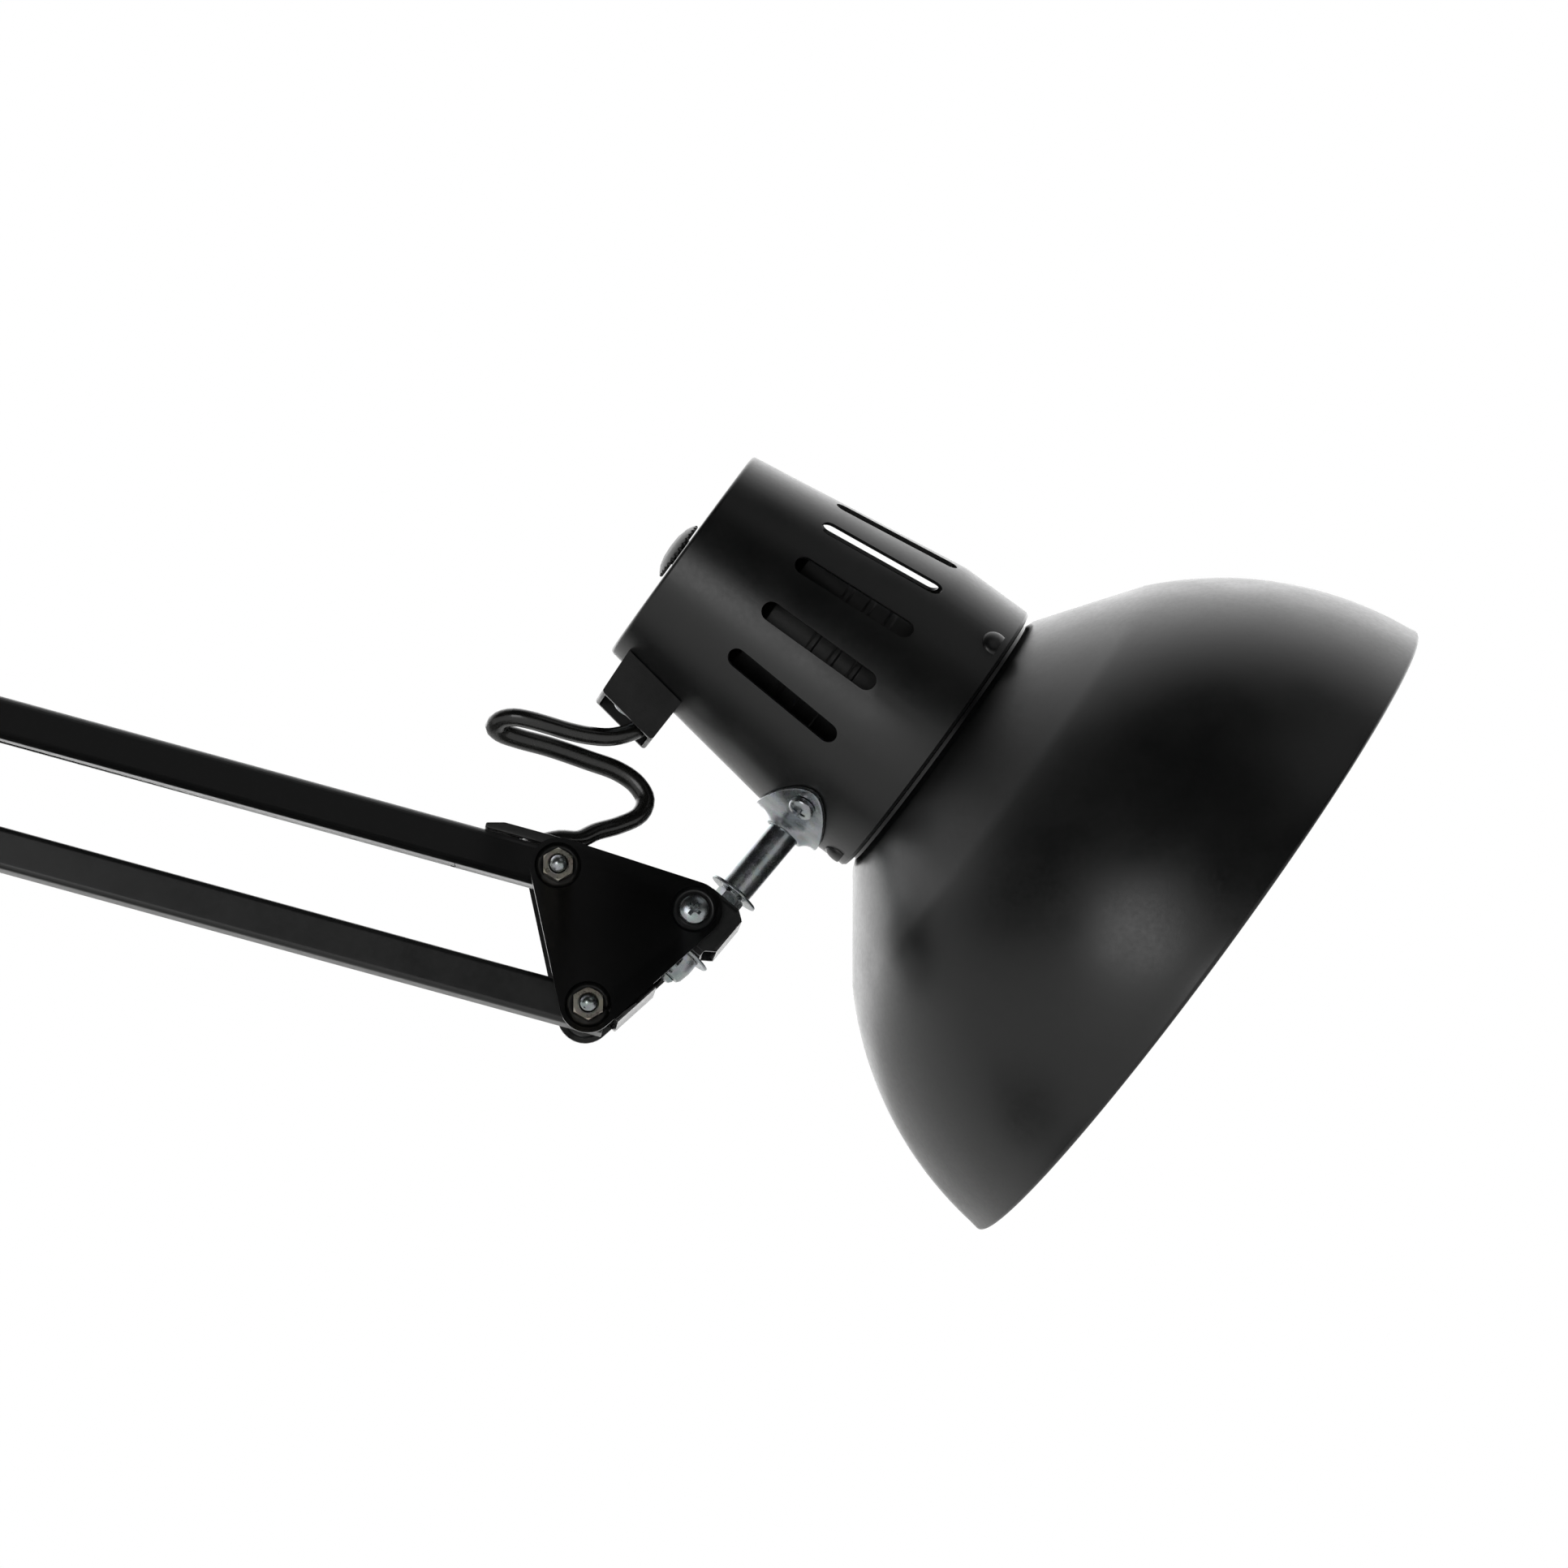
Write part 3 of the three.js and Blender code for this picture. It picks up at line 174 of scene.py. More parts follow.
# ---------- materials ----------
class Finish:
    """A node material whose patterns are drawn in the object's own metres."""

    def __init__(self, slot, name=None, **sockets):
        self.slot = slot
        self.material = bpy.data.materials.new(name or slot)
        self.material.use_nodes = True
        self.tree = self.material.node_tree
        self.shader = self.tree.nodes["Principled BSDF"]
        self.place = self.tree.nodes.new("ShaderNodeTexCoord").outputs["Object"]
        for socket, value in sockets.items():
            self.shader.inputs[socket.replace("_", " ")].default_value = value

    def node(self, kind, inputs, **settings):
        node = self.tree.nodes.new("ShaderNode" + kind)
        for key, value in settings.items():
            setattr(node, key, value)
        for key, value in inputs.items():
            if isinstance(value, bpy.types.NodeSocket):
                self.tree.links.new(value, node.inputs[key])
            else:
                node.inputs[key].default_value = value
        return node

    def stretched(self, scale):
        return self.node("Mapping", {"Vector": self.place, "Scale": scale}).outputs["Vector"]

    def noise(self, size, detail=3, rough=0.55, vector=None):
        """Noise whose lumps are about size millimetres across."""
        inputs = {"Vector": vector or self.place, "Scale": 1000 / size, "Detail": detail, "Roughness": rough}
        return self.node("TexNoise", inputs).outputs["Fac"]

    def cells(self, size):
        return self.node("TexVoronoi", {"Vector": self.place, "Scale": 1000 / size})

    def between(self, factor, low, high, start=0.3, end=0.7):
        inputs = {"Value": factor, "From Min": start, "From Max": end, "To Min": low, "To Max": high}
        return self.node("MapRange", inputs).outputs["Result"]

    def colours(self, factor, first, second, start=0.3, end=0.7):
        ramp = self.node("ValToRGB", {"Fac": factor})
        for stop, place, colour in zip(ramp.color_ramp.elements, (start, end), (first, second)):
            stop.position = place
            stop.color = (*colour, 1)
        return ramp.outputs["Color"]

    def mixed(self, factor, first, second, blend="MIX"):
        mix = self.node("Mix", {0: factor, 6: first, 7: second}, data_type="RGBA", blend_type=blend)
        return mix.outputs[2]

    def sum(self, first, second, operation="ADD"):
        return self.node("Math", {0: first, 1: second}, operation=operation).outputs["Value"]

    def bump(self, height, depth, strength=1.0, below=None):
        """A bump of depth millimetres, on top of another one if it is given."""
        inputs = {"Height": height, "Distance": depth / 1000, "Strength": strength}
        if below:
            inputs["Normal"] = below
        return self.node("Bump", inputs).outputs["Normal"]

    def wire(self, colour=None, roughness=None, normal=None):
        for socket, value in (("Base Color", colour), ("Roughness", roughness), ("Normal", normal)):
            if value:
                self.tree.links.new(value, self.shader.inputs[socket])
        return self


def black_enamel():
    """Satin powder coat: fine orange peel, a slow change of gloss and a few pale specks of dust."""
    finish = Finish("black_enamel", Metallic=0.0, IOR=1.5)
    broad = finish.noise(16)
    grain = finish.noise(1.1, 2)
    specks = finish.noise(2.4, 4, 0.7)
    body = finish.colours(broad, (0.0035, 0.0038, 0.004), (0.006, 0.0062, 0.0062))
    dust = finish.between(specks, 0, 0.10, 0.70, 0.80)
    colour = finish.mixed(dust, body, (0.10, 0.10, 0.095, 1))
    gloss = finish.sum(finish.between(broad, 0.30, 0.36), finish.between(grain, -0.02, 0.03))
    peel = finish.bump(finish.noise(3.2, 1), 0.008)
    return finish.wire(colour, gloss, finish.bump(grain, 0.004, 1, peel))


def white_enamel():
    """The reflecting inside of the shade."""
    finish = Finish("black_enamel", "white_enamel", IOR=1.5)
    broad = finish.noise(22)
    colour = finish.colours(broad, (0.72, 0.715, 0.69), (0.80, 0.80, 0.785))
    peel = finish.bump(finish.noise(2.8, 2), 0.02)
    return finish.wire(colour, finish.between(broad, 0.30, 0.40), peel)


def plated(slot, pale, deep, low, high, name=None):
    """Bright plating over steel: soft cloudy patches, faint crystals and fine scratches."""
    finish = Finish(slot, name, Metallic=1.0)
    cloud = finish.noise(5, 4)
    crystal = finish.cells(1.6).outputs["Color"]
    tint = finish.colours(cloud, deep, pale)
    colour = finish.mixed(0.08, tint, crystal, "SOFT_LIGHT")
    scratch = finish.noise(0.5, 2, 0.5, finish.stretched((1, 6, 0.8)))
    gloss = finish.sum(finish.between(cloud, low, high), finish.between(scratch, -0.03, 0.04))
    return finish.wire(colour, gloss, finish.bump(scratch, 0.002, 0.6))


def black_cord():
    """Smooth glossy jacket with slow waviness and a few paler rubbed marks."""
    finish = Finish("black_cord", IOR=1.5, Coat_Weight=0.25, Coat_Roughness=0.12)
    wave = finish.noise(7, 2)
    fine = finish.noise(0.9, 3)
    marks = finish.noise(3.2, 4, 0.65)
    body = finish.colours(wave, (0.004, 0.004, 0.0036), (0.008, 0.008, 0.007))
    colour = finish.mixed(finish.between(marks, 0, 0.15, 0.66, 0.78), body, (0.06, 0.06, 0.052, 1))
    gloss = finish.sum(finish.between(wave, 0.22, 0.30), finish.between(fine, -0.02, 0.03))
    soft = finish.bump(wave, 0.08)
    return finish.wire(colour, gloss, finish.bump(fine, 0.004, 1, soft))


def black_plastic():
    """Moulded plastic with a fine spark-eroded grain."""
    finish = Finish("black_plastic", IOR=1.48)
    broad = finish.noise(10)
    grain = finish.cells(0.45).outputs["Distance"]
    body = finish.colours(broad, (0.006, 0.006, 0.0062), (0.011, 0.011, 0.011))
    gloss = finish.between(broad, 0.34, 0.46)
    return finish.wire(body, gloss, finish.bump(grain, 0.015, 0.7))


def foam():
    """Closed-cell foam of the base's pad."""
    finish = Finish("foam", IOR=1.4)
    cell = finish.cells(0.7).outputs["Distance"]
    colour = finish.colours(finish.noise(6), (0.020, 0.020, 0.021), (0.036, 0.036, 0.037))
    return finish.wire(colour, finish.between(cell, 0.80, 0.97, 0, 0.7), finish.bump(cell, 0.12))


def frosted_glass():
    """Inside-frosted globe: a milky skin with the faintest waviness."""
    finish = Finish("frosted_glass", IOR=1.5, Subsurface_Weight=0.35, Subsurface_Scale=0.01, Coat_Weight=0.6)
    broad = finish.noise(18)
    colour = finish.colours(broad, (0.86, 0.85, 0.81), (0.93, 0.925, 0.90))
    return finish.wire(colour, finish.between(broad, 0.26, 0.36), finish.bump(broad, 0.05))


ENAMEL = black_enamel()
WHITE = white_enamel()
ZINC = plated("zinc", (0.42, 0.45, 0.465), (0.25, 0.27, 0.28), 0.20, 0.32)
NICKEL = plated("nickel", (0.44, 0.415, 0.36), (0.30, 0.28, 0.235), 0.24, 0.34)
SPRING_STEEL = plated("spring_steel", (0.52, 0.53, 0.54), (0.38, 0.39, 0.41), 0.24, 0.38)
BRASS = plated("brass", (0.74, 0.60, 0.34), (0.58, 0.44, 0.22), 0.20, 0.34)
CORD = black_cord()
PLASTIC = black_plastic()
FOAM = foam()
GLASS = frosted_glass()


# ---------- solids, all drawn in millimetres ----------
FLAT_ANGLE = math.radians(0.4)


def linked(name, data):
    obj = bpy.data.objects.new(name, data)
    bpy.context.scene.collection.objects.link(obj)
    return obj


def as_it_is(bm):
    mesh = bpy.data.meshes.new("shape")
    bm.to_mesh(mesh)
    bm.free()
    return linked("shape", mesh)


def to_object(bm):
    bmesh.ops.recalc_face_normals(bm, faces=bm.faces)
    return as_it_is(bm)


def circle(sides):
    return [2 * math.pi * i / sides for i in range(sides)]


def bridge(bm, loops, closed=False):
    """Faces between each loop of corners and the next one, and from the last to the first if closed."""
    for first, last in zip(loops, loops[1:] + loops[:1] if closed else loops[1:]):
        for i in range(len(first)):
            j = (i + 1) % len(first)
            bm.faces.new((first[i], first[j], last[j], last[i]))


def rings_to_tube(rings, closed=False):
    """A tube through rings of points, with a face at each end unless it is closed on itself."""
    bm = bmesh.new()
    loops = [[bm.verts.new(point) for point in ring] for ring in rings]
    bridge(bm, loops, closed)
    if not closed:
        bm.faces.new(loops[0])
        bm.faces.new(loops[-1][::-1])
    return to_object(bm)


def moved(obj, matrix):
    obj.data.transform(matrix)
    return obj


def shifted(obj, x=0, y=0, z=0):
    return moved(obj, Matrix.Translation((x, y, z)))


def turned_by(obj, degrees, axis):
    return moved(obj, Matrix.Rotation(math.radians(degrees), 4, axis))


def remove(obj):
    bpy.data.objects.remove(obj)


def together(objs):
    """One object that holds all these meshes side by side."""
    bm = bmesh.new()
    for obj in objs:
        bm.from_mesh(obj.data)
        remove(obj)
    return as_it_is(bm)


def applied(obj):
    """Gives the object the mesh that its modifiers make."""
    scene_now = bpy.context.evaluated_depsgraph_get()
    obj.data = bpy.data.meshes.new_from_object(obj.evaluated_get(scene_now))
    obj.modifiers.clear()


def boolean(obj, tools, operation):
    tool = together(tools)
    modifier = obj.modifiers.new("boolean", "BOOLEAN")
    modifier.operation = operation
    modifier.solver = "EXACT"
    modifier.object = tool
    applied(obj)
    remove(tool)
    return obj


def joined(obj, *tools):
    for tool in tools:
        boolean(obj, [tool], "UNION")
    return obj


def cut(obj, *tools):
    return boolean(obj, tools, "DIFFERENCE")


def common(obj, tool):
    return boolean(obj, [tool], "INTERSECT")


def turned(profile, sides=64):
    """A closed loop of (radius, height) pairs turned about Z. Points on the axis become single corners."""
    bm = bmesh.new()
    rings = []
    for radius, height in profile:
        if radius < 1e-6:
            rings.append([bm.verts.new((0, 0, height))])
            continue
        rings.append([bm.verts.new((radius * math.cos(a), radius * math.sin(a),
                                    height)) for a in circle(sides)])
    for low, high in zip(rings, rings[1:] + rings[:1]):
        if len(low) == 1 and len(high) == 1:
            continue
        for i in range(sides):
            j = (i + 1) % sides
            corners = [low[i % len(low)], low[j % len(low)], high[j % len(high)], high[i % len(high)]]
            bm.faces.new(list(dict.fromkeys(corners)))
    return to_object(bm)


def turned_y(profile, sides=64):
    return turned_by(turned(profile, sides), -90, "X")


def rod_y(radius, low, high, centre=(0, 0), sides=48):
    rod = turned_y([(0, low), (radius, low), (radius, high), (0, high)], sides)
    return shifted(rod, centre[0], 0, centre[1])


def prism(outline, travel):
    """The outline's points, and the same moved by travel, as one closed solid."""
    bm = bmesh.new()
    first = [bm.verts.new(point) for point in outline]
    last = [bm.verts.new(Vector(point) + Vector(travel)) for point in outline]
    bm.faces.new(first)
    bm.faces.new(last[::-1])
    bridge(bm, [first, last])
    return to_object(bm)


def slab(outline, low, high):
    """An outline of (x, z) pairs made thick along Y."""
    return prism([(x, low, z) for x, z in outline], (0, high - low, 0))


def block(low, high):
    (x0, y0, z0), (x1, y1, z1) = low, high
    return prism([(x0, y0, z0), (x1, y0, z0), (x1, y1, z0), (x0, y1, z0)], (0, 0, z1 - z0))


def softened(points, radius, steps=5, closed=True):
    """The same outline with its corners rounded. radius is one number or one for each corner."""
    count = len(points)
    radii = radius if isinstance(radius, (list, tuple)) else [radius] * count
    result = []
    for i, point in enumerate(points):
        corner = Vector(point)
        if not radii[i] or not closed and i in (0, count - 1):
            result.append(tuple(corner))
            continue
        before = Vector(points[i - 1]) - corner
        after = Vector(points[(i + 1) % count]) - corner
        half = before.angle(after) / 2
        reach = min(radii[i] / math.tan(half), before.length * 0.49, after.length * 0.49)
        start = corner + before.normalized() * reach
        end = corner + after.normalized() * reach
        for k in range(steps + 1):
            t = k / steps
            result.append(tuple(start * (1 - t) ** 2 + corner * 2 * t * (1 - t) + end * t * t))
    return result


def round_outline(corners, radius, steps=14):
    """The convex outline round these (x, z) corners, all with the same radius."""
    points = []
    count = len(corners)
    for i, corner in enumerate(corners):
        before, after = corners[i - 1], corners[(i + 1) % count]
        start = math.atan2(corner[1] - before[1], corner[0] - before[0]) - math.pi / 2
        end = math.atan2(after[1] - corner[1], after[0] - corner[0]) - math.pi / 2
        while end < start:
            end += 2 * math.pi
        for k in range(steps + 1):
            angle = start + (end - start) * k / steps
            points.append((corner[0] + radius * math.cos(angle), corner[1] + radius * math.sin(angle)))
    return points


def arc(centre, radius, start, end, steps=12):
    angles = [math.radians(start + (end - start) * k / steps) for k in range(steps + 1)]
    return [(centre[0] + radius * math.cos(a), centre[1] + radius * math.sin(a)) for a in angles]


def flat(point):
    return (point[0], point[2])


def flat_areas(mesh):
    """For every face, the area of the whole flat region that it is part of."""
    bm = bmesh.new()
    bm.from_mesh(mesh)
    areas = [0.0] * len(bm.faces)
    for face in bm.faces:
        if areas[face.index]:
            continue
        region, members = [face], {face.index}
        for member in region:
            for edge in member.edges:
                for other in edge.link_faces:
                    if other.index not in members and other.normal.angle(member.normal, 0) < FLAT_ANGLE:
                        members.add(other.index)
                        region.append(other)
        total = max(sum(member.calc_area() for member in region), 1e-12)
        for index in members:
            areas[index] = total
    bm.free()
    return areas


def keep_flats_flat(mesh):
    """Smooth shading in which each corner leans towards its larger flat faces, so that those stay flat."""
    leaning = [Vector() for _ in mesh.vertices]
    for polygon, area in zip(mesh.polygons, flat_areas(mesh)):
        for index in polygon.vertices:
            leaning[index] += polygon.normal * area
    mesh.normals_split_custom_set_from_vertices([way.normalized() for way in leaning])


def show(name, obj, place, body, finish, nodes=(), bevel=0.2, sharp=None):
    """Puts a shape in its place in metres, with its finish and its body, instead of those nodes."""
    obj.name = name
    obj.data.name = name
    obj.data.transform(place)
    obj.data.materials.clear()
    obj.data.materials.append(finish.material)
    obj.data.shade_smooth()
    if sharp:
        obj.data.set_sharp_from_angle(angle=math.radians(sharp))
    if bevel:
        edge = obj.modifiers.new("edges", "BEVEL")
        edge.width = bevel / 1000
        edge.segments = 2
        edge.limit_method = "ANGLE"
        edge.angle_limit = math.radians(34)
        applied(obj)
        keep_flats_flat(obj.data)
    if nodes:
        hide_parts(*nodes)
    if body:
        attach(obj, body)
    return obj


# ---------- tubes that follow a route ----------
def smooth_route(points, step=1.2):
    """A centripetal Catmull-Rom curve through the points, sampled about every step millimetres."""
    way = [Vector(p) for p in points]
    way = [way[0] * 2 - way[1], *way, way[-1] * 2 - way[-2]]
    result = []
    for a, b, c, d in zip(way, way[1:], way[2:], way[3:]):
        t1 = math.sqrt((b - a).length)
        t2 = t1 + math.sqrt((c - b).length)
        t3 = t2 + math.sqrt((d - c).length)
        count = max(2, round((c - b).length / step))
        for k in range(count):
            t = t1 + (t2 - t1) * k / count
            ab = a.lerp(b, t / t1)
            bc = b.lerp(c, (t - t1) / (t2 - t1))
            cd = c.lerp(d, (t - t2) / (t3 - t2))
            abc = ab.lerp(bc, t / t2)
            bcd = bc.lerp(cd, (t - t1) / (t3 - t1))
            result.append(abc.lerp(bcd, (t - t1) / (t2 - t1)))
    return [*result, way[-2]]


def sweep(points, section, closed=False):
    """A tube along the points. The section is the (side, up) pairs of its outline."""
    count = len(points)
    side = Vector((0, 1, 0))
    rings = []
    for i, point in enumerate(points):
        before = points[i - 1] if i or closed else point
        after = points[(i + 1) % count] if i < count - 1 or closed else point
        way = (after - before).normalized()
        side = (side - way * side.dot(way)).normalized()
        lift = way.cross(side)
        rings.append([point + side * a + lift * b for a, b in section])
    return rings_to_tube(rings, closed)


def oval(wide, thin, sides):
    return [(wide * math.cos(a), thin * math.sin(a)) for a in circle(sides)]


# ---------- camera, floor and light ----------
def make_camera():
    camera = linked("camera", bpy.data.cameras.new("camera"))
    anchor = TOP_TIP / 1000
    place = anchor + Vector((-0.03999, -1.55404, -0.22172))
    target = anchor + Vector((0.05506, 0, 0.02209))
    camera.location = place
    camera.rotation_euler = (target - place).to_track_quat("-Z", "Y").to_euler()
    camera.data.lens = 149.07
    camera.data.sensor_width = 36
    camera.data.clip_start = 0.05
    camera.data.clip_end = 50
    bpy.context.scene.camera = camera


def make_floor():
    bm = bmesh.new()
    half = 40
    bm.faces.new([bm.verts.new((x, y, 0)) for x,
                  y in ((-half, -half), (half, -half), (half, half), (-half, half))])
    floor = to_object(bm)
    floor.name = "floor"
    pale = Finish("floor", Base_Color=(0.86, 0.86, 0.85, 1), Roughness=0.7)
    pale.wire(pale.colours(pale.noise(300), (0.86, 0.86, 0.85), (0.88, 0.88, 0.87)))
    floor.data.materials.append(pale.material)


def area_light(name, target, direction, distance, size, power):
    light = linked(name, bpy.data.lights.new(name, "AREA"))
    way = Vector(direction).normalized()
    light.location = target / 1000 + way * distance
    light.rotation_euler = way.to_track_quat("Z", "Y").to_euler()
    light.data.size = size
    light.data.energy = power


def make_world():
    """White where the camera sees it; as a light it is white behind the lamp and dim in front of it."""
    world = bpy.data.worlds.new("studio")
    bpy.context.scene.world = world
    world.use_nodes = True
    tree = world.node_tree
    tree.nodes.clear()

    def node(kind, **inputs):
        made = tree.nodes.new("ShaderNode" + kind)
        for key, value in inputs.items():
            made.inputs[key.replace("_", " ")].default_value = value
        return made

    split = node("SeparateXYZ")
    fade = node("MapRange", From_Min=-0.15, From_Max=0.75, To_Min=0.02, To_Max=2.4)
    seen = node("Background", Color=(1, 1, 1, 1), Strength=1.0)
    lit = node("Background", Color=(1, 1, 1, 1))
    mix = node("MixShader")
    links = tree.links.new
    links(node("TexCoord").outputs["Generated"], split.inputs[0])
    links(split.outputs["Y"], fade.inputs["Value"])
    links(fade.outputs[0], lit.inputs["Strength"])
    links(node("LightPath").outputs["Is Camera Ray"], mix.inputs[0])
    links(lit.outputs[0], mix.inputs[1])
    links(seen.outputs[0], mix.inputs[2])
    links(mix.outputs[0], node("OutputWorld").inputs["Surface"])


bpy.context.scene.view_settings.view_transform = "Standard"
SHADE_MIDDLE = HEAD_FRAME @ Vector((0, 0, 60)) * 1000
make_camera()
make_floor()
make_world()
area_light("key", SHADE_MIDDLE, (-0.47, -0.83, -0.04), 1.2, 0.5, 2.2)
area_light("fill", SHADE_MIDDLE, (0.6, -0.7, 0.9), 2.2, 1.2, 1.5)


# ---------- fasteners ----------
def thread(radius, low, high, pitch=0.8, depth=0.22):
    """Ridges of a screw thread as (radius, height) pairs, from low up to high."""
    count = round((high - low) / pitch)
    step = (high - low) / count
    points = []
    for i in range(count):
        points += [(radius - depth, low + i * step), (radius, low + (i + 0.5) * step)]
    return [*points, (radius - depth, high)]


def cross_recess(size, depth):
    """A cross that narrows as it goes down from height 0."""
    arm, half = size / 2, size * 0.12
    quarter = [(arm, -half), (arm, half), (half, half)]
    plus = [Matrix.Rotation(math.pi / 2 * turn, 2) @ Vector(p) for turn in range(4) for p in quarter]
    cutter = prism([(x, y, 0.4) for x, y in plus], (0, 0, -depth - 0.4))
    for vertex in cutter.data.vertices:
        if vertex.co.z < 0:
            vertex.co.x *= 0.5
            vertex.co.y *= 0.5
    return cutter


def dome(radius, low, height, steps=10):
    angles = [math.pi / 2 * i / steps for i in range(steps + 1)]
    return [(radius * math.cos(a), low + height * math.sin(a)) for a in angles]


def pan_head(radius, height, shank=0.0):
    """A cross-recessed pan head on a short shank, its seat at height 0."""
    foot = [(0, -shank), (BOLT_RADIUS, -shank), (BOLT_RADIUS, 0)] if shank else [(0, 0)]
    head = turned([*foot, (radius, 0), *dome(radius, height * 0.35, height * 0.65)], 48)
    return cut(head, shifted(cross_recess(radius * 1.25, height * 0.7), z=height))


def hex_nut(across, height, bore, turn=0):
    """A hexagon nut with chamfered corners, its lower face at height 0."""
    outer = across / math.sqrt(3)
    corners = [(outer * math.cos(math.radians(a + turn)), outer * math.sin(math.radians(a + turn)), 0)
               for a in range(0, 360, 60)]
    nut = prism(corners, (0, 0, height))
    rim = outer * 0.89
    chamfer = 0.45
    skin = turned([(0, 0), (rim, 0), (outer + 0.01, chamfer), (outer + 0.01, height - chamfer),
                   (rim, height), (0, height)])
    hole = turned([(0, -1), (bore + 1.3, -1), (bore, 0.3), (bore, height - 0.3), (bore + 1.3, height + 1),
                   (0, height + 1)])
    return cut(common(nut, skin), hole)


def facing(obj, side, distance=0.0):
    """Turns a shape from +Z to +Y or -Y, and moves it out that way."""
    return shifted(turned_by(obj, -90 * side, "X"), y=side * distance)


def at_hole(obj, hole):
    return shifted(obj, hole.x, hole.y, hole.z)


def pivot_bolt():
    """A domed, threaded tip on the -Y side, a pan head on the +Y side and spacer sleeves beside the bar."""
    tip = SEAT + NUT_HEIGHT + 1.6
    body = turned_y([
        (0, -tip - 0.9), (0.8, -tip - 0.8), (1.4, -tip - 0.45), *thread(BOLT_RADIUS, -tip, -SEAT + 0.3),
        (BOLT_RADIUS, -SLEEVE_OUT - 0.3), (BOLT_RADIUS, -SLEEVE_OUT), (SLEEVE_RADIUS, -SLEEVE_OUT),
        (SLEEVE_RADIUS, -SLEEVE_IN), (BOLT_RADIUS, -SLEEVE_IN), (BOLT_RADIUS, SLEEVE_IN),
        (SLEEVE_RADIUS, SLEEVE_IN),
        (SLEEVE_RADIUS, SLEEVE_OUT), (BOLT_RADIUS, SLEEVE_OUT), (BOLT_RADIUS, SEAT),
        (HEAD_RADIUS, SEAT), *dome(HEAD_RADIUS, SEAT + 0.8, 1.6),
    ], 48)
    return cut(body, facing(cross_recess(4.4, 1.6), 1, SEAT + HEAD_HEIGHT))


def pivot_nut():
    return facing(hex_nut(NUT_ACROSS, NUT_HEIGHT, HOLE_RADIUS, 30), -1, SEAT)


def bolt_with_nut(name, hole, body, nodes):
    show(name, at_hole(together([pivot_bolt(), pivot_nut()]), hole), METRES, body, ZINC, nodes, BOLT_EDGE)


def hook_bolt(name, hole, body, nodes):
    rod = rod_y(BOLT_RADIUS, -SEAT - 0.1, SEAT + 0.1)
    heads = [facing(pan_head(HEAD_RADIUS, HEAD_HEIGHT), side, SEAT) for side in (-1, 1)]
    show(name, at_hole(joined(rod, *heads), hole), METRES, body, ZINC, nodes, BOLT_EDGE)


# ---------- bracket plates ----------
def dish(hole, outside):
    side = math.copysign(1, outside)
    bottom = outside - side * DISH_DEPTH
    mouth = outside + side * 0.5
    slope = DISH_RADIUS - DISH_DEPTH * 1.3
    rim = softened([(slope, bottom), (DISH_RADIUS, outside)], 0, 1, False)
    profile = [(0, bottom), (slope - 0.25, bottom), (slope + 0.1, bottom + side * 0.12), *rim[1:],
               (DISH_RADIUS, mouth), (0, mouth)]
    return at_hole(turned_y(profile), hole)


def plate(outline, holes, side):
    """A flat plate with a pressed dish round every hole, hollow on its outside."""
    low, high = (-PLATE_OUTSIDE, -PLATE_INSIDE) if side < 0 else (PLATE_INSIDE, PLATE_OUTSIDE)
    sheet = slab(outline, low, high)
    sheet = boolean(sheet, [dish(hole, side * PLATE_INSIDE) for hole in holes], "UNION")
    sheet = cut(sheet, *[dish(hole, side * PLATE_OUTSIDE) for hole in holes])
    return cut(sheet, *[rod_y(HOLE_RADIUS, low - 2, high + 2, flat(hole)) for hole in holes])


# ---------- base ----------
def make_base():
    pad = BASE_RADIUS - 3
    show("base_foam", turned([(0, 0), (pad, 0), (pad, PAD_TOP), (0, PAD_TOP)], 160), METRES, "base", FOAM,
         ["base_pad"], 0.4)
    recess, recess_top, shank = 22, PAD_TOP + 5, 10
    foot = PAD_TOP + PLAY
    profile = [
        (recess, foot), (BASE_RADIUS - 0.8, foot), (BASE_RADIUS, foot + 0.8),
        *arc((BASE_RADIUS - 3, BASE_TOP - 3), 3, 0, 90),
        (shank + PLAY, BASE_TOP), (shank + PLAY, recess_top), (recess, recess_top),
    ]
    show("base_casting", turned(profile, 192), METRES, "base", ENAMEL, ["base_plate"], 0.25)
    low = PAD_TOP + 1
    flange = BASE_TOP + PLAY
    collar = turned([
        (POST_RADIUS + PLAY, low), (shank, low), (shank, flange), (18, flange), (18, BASE_TOP + 1.6),
        (17.2, BASE_TOP + 2.3),
        (12.2, BASE_TOP + 3.1), (11.4, BASE_TOP + 4.2), (11, COLLAR_TOP - 1), (10.2, COLLAR_TOP),
        (POST_RADIUS + PLAY, COLLAR_TOP),
    ], 96)
    grooves = [turned([(10.75, z), (12, z - 0.5), (12, z + 0.5)], 96) for z in (COLLAR_TOP - 3.2,
                                                                                COLLAR_TOP - 5)]
    set_screw = turned_by(rod_y(2.1, 9.6, 13), 180, "Z")
    hexagon = shifted(prism([(1.1 * math.cos(a), 0,
                              1.1 * math.sin(a)) for a in (math.pi / 3 * i for i in range(6))],
                            (0, 3, 0)), y=-12.5)
    screw = cut(turned_by(rod_y(1.95, 8.2, 10.3), 180, "Z"), hexagon)
    collar = cut(collar, *grooves, shifted(set_screw, z=BASE_TOP + 8))
    nut = shifted(hex_nut(27.7, recess_top - PLAY - low, shank + 0.02), z=low)
    show("base_collar", together([collar, nut, shifted(screw, z=BASE_TOP + 8)]), METRES, "base", ZINC,
         ["base_socket"], 0.3)


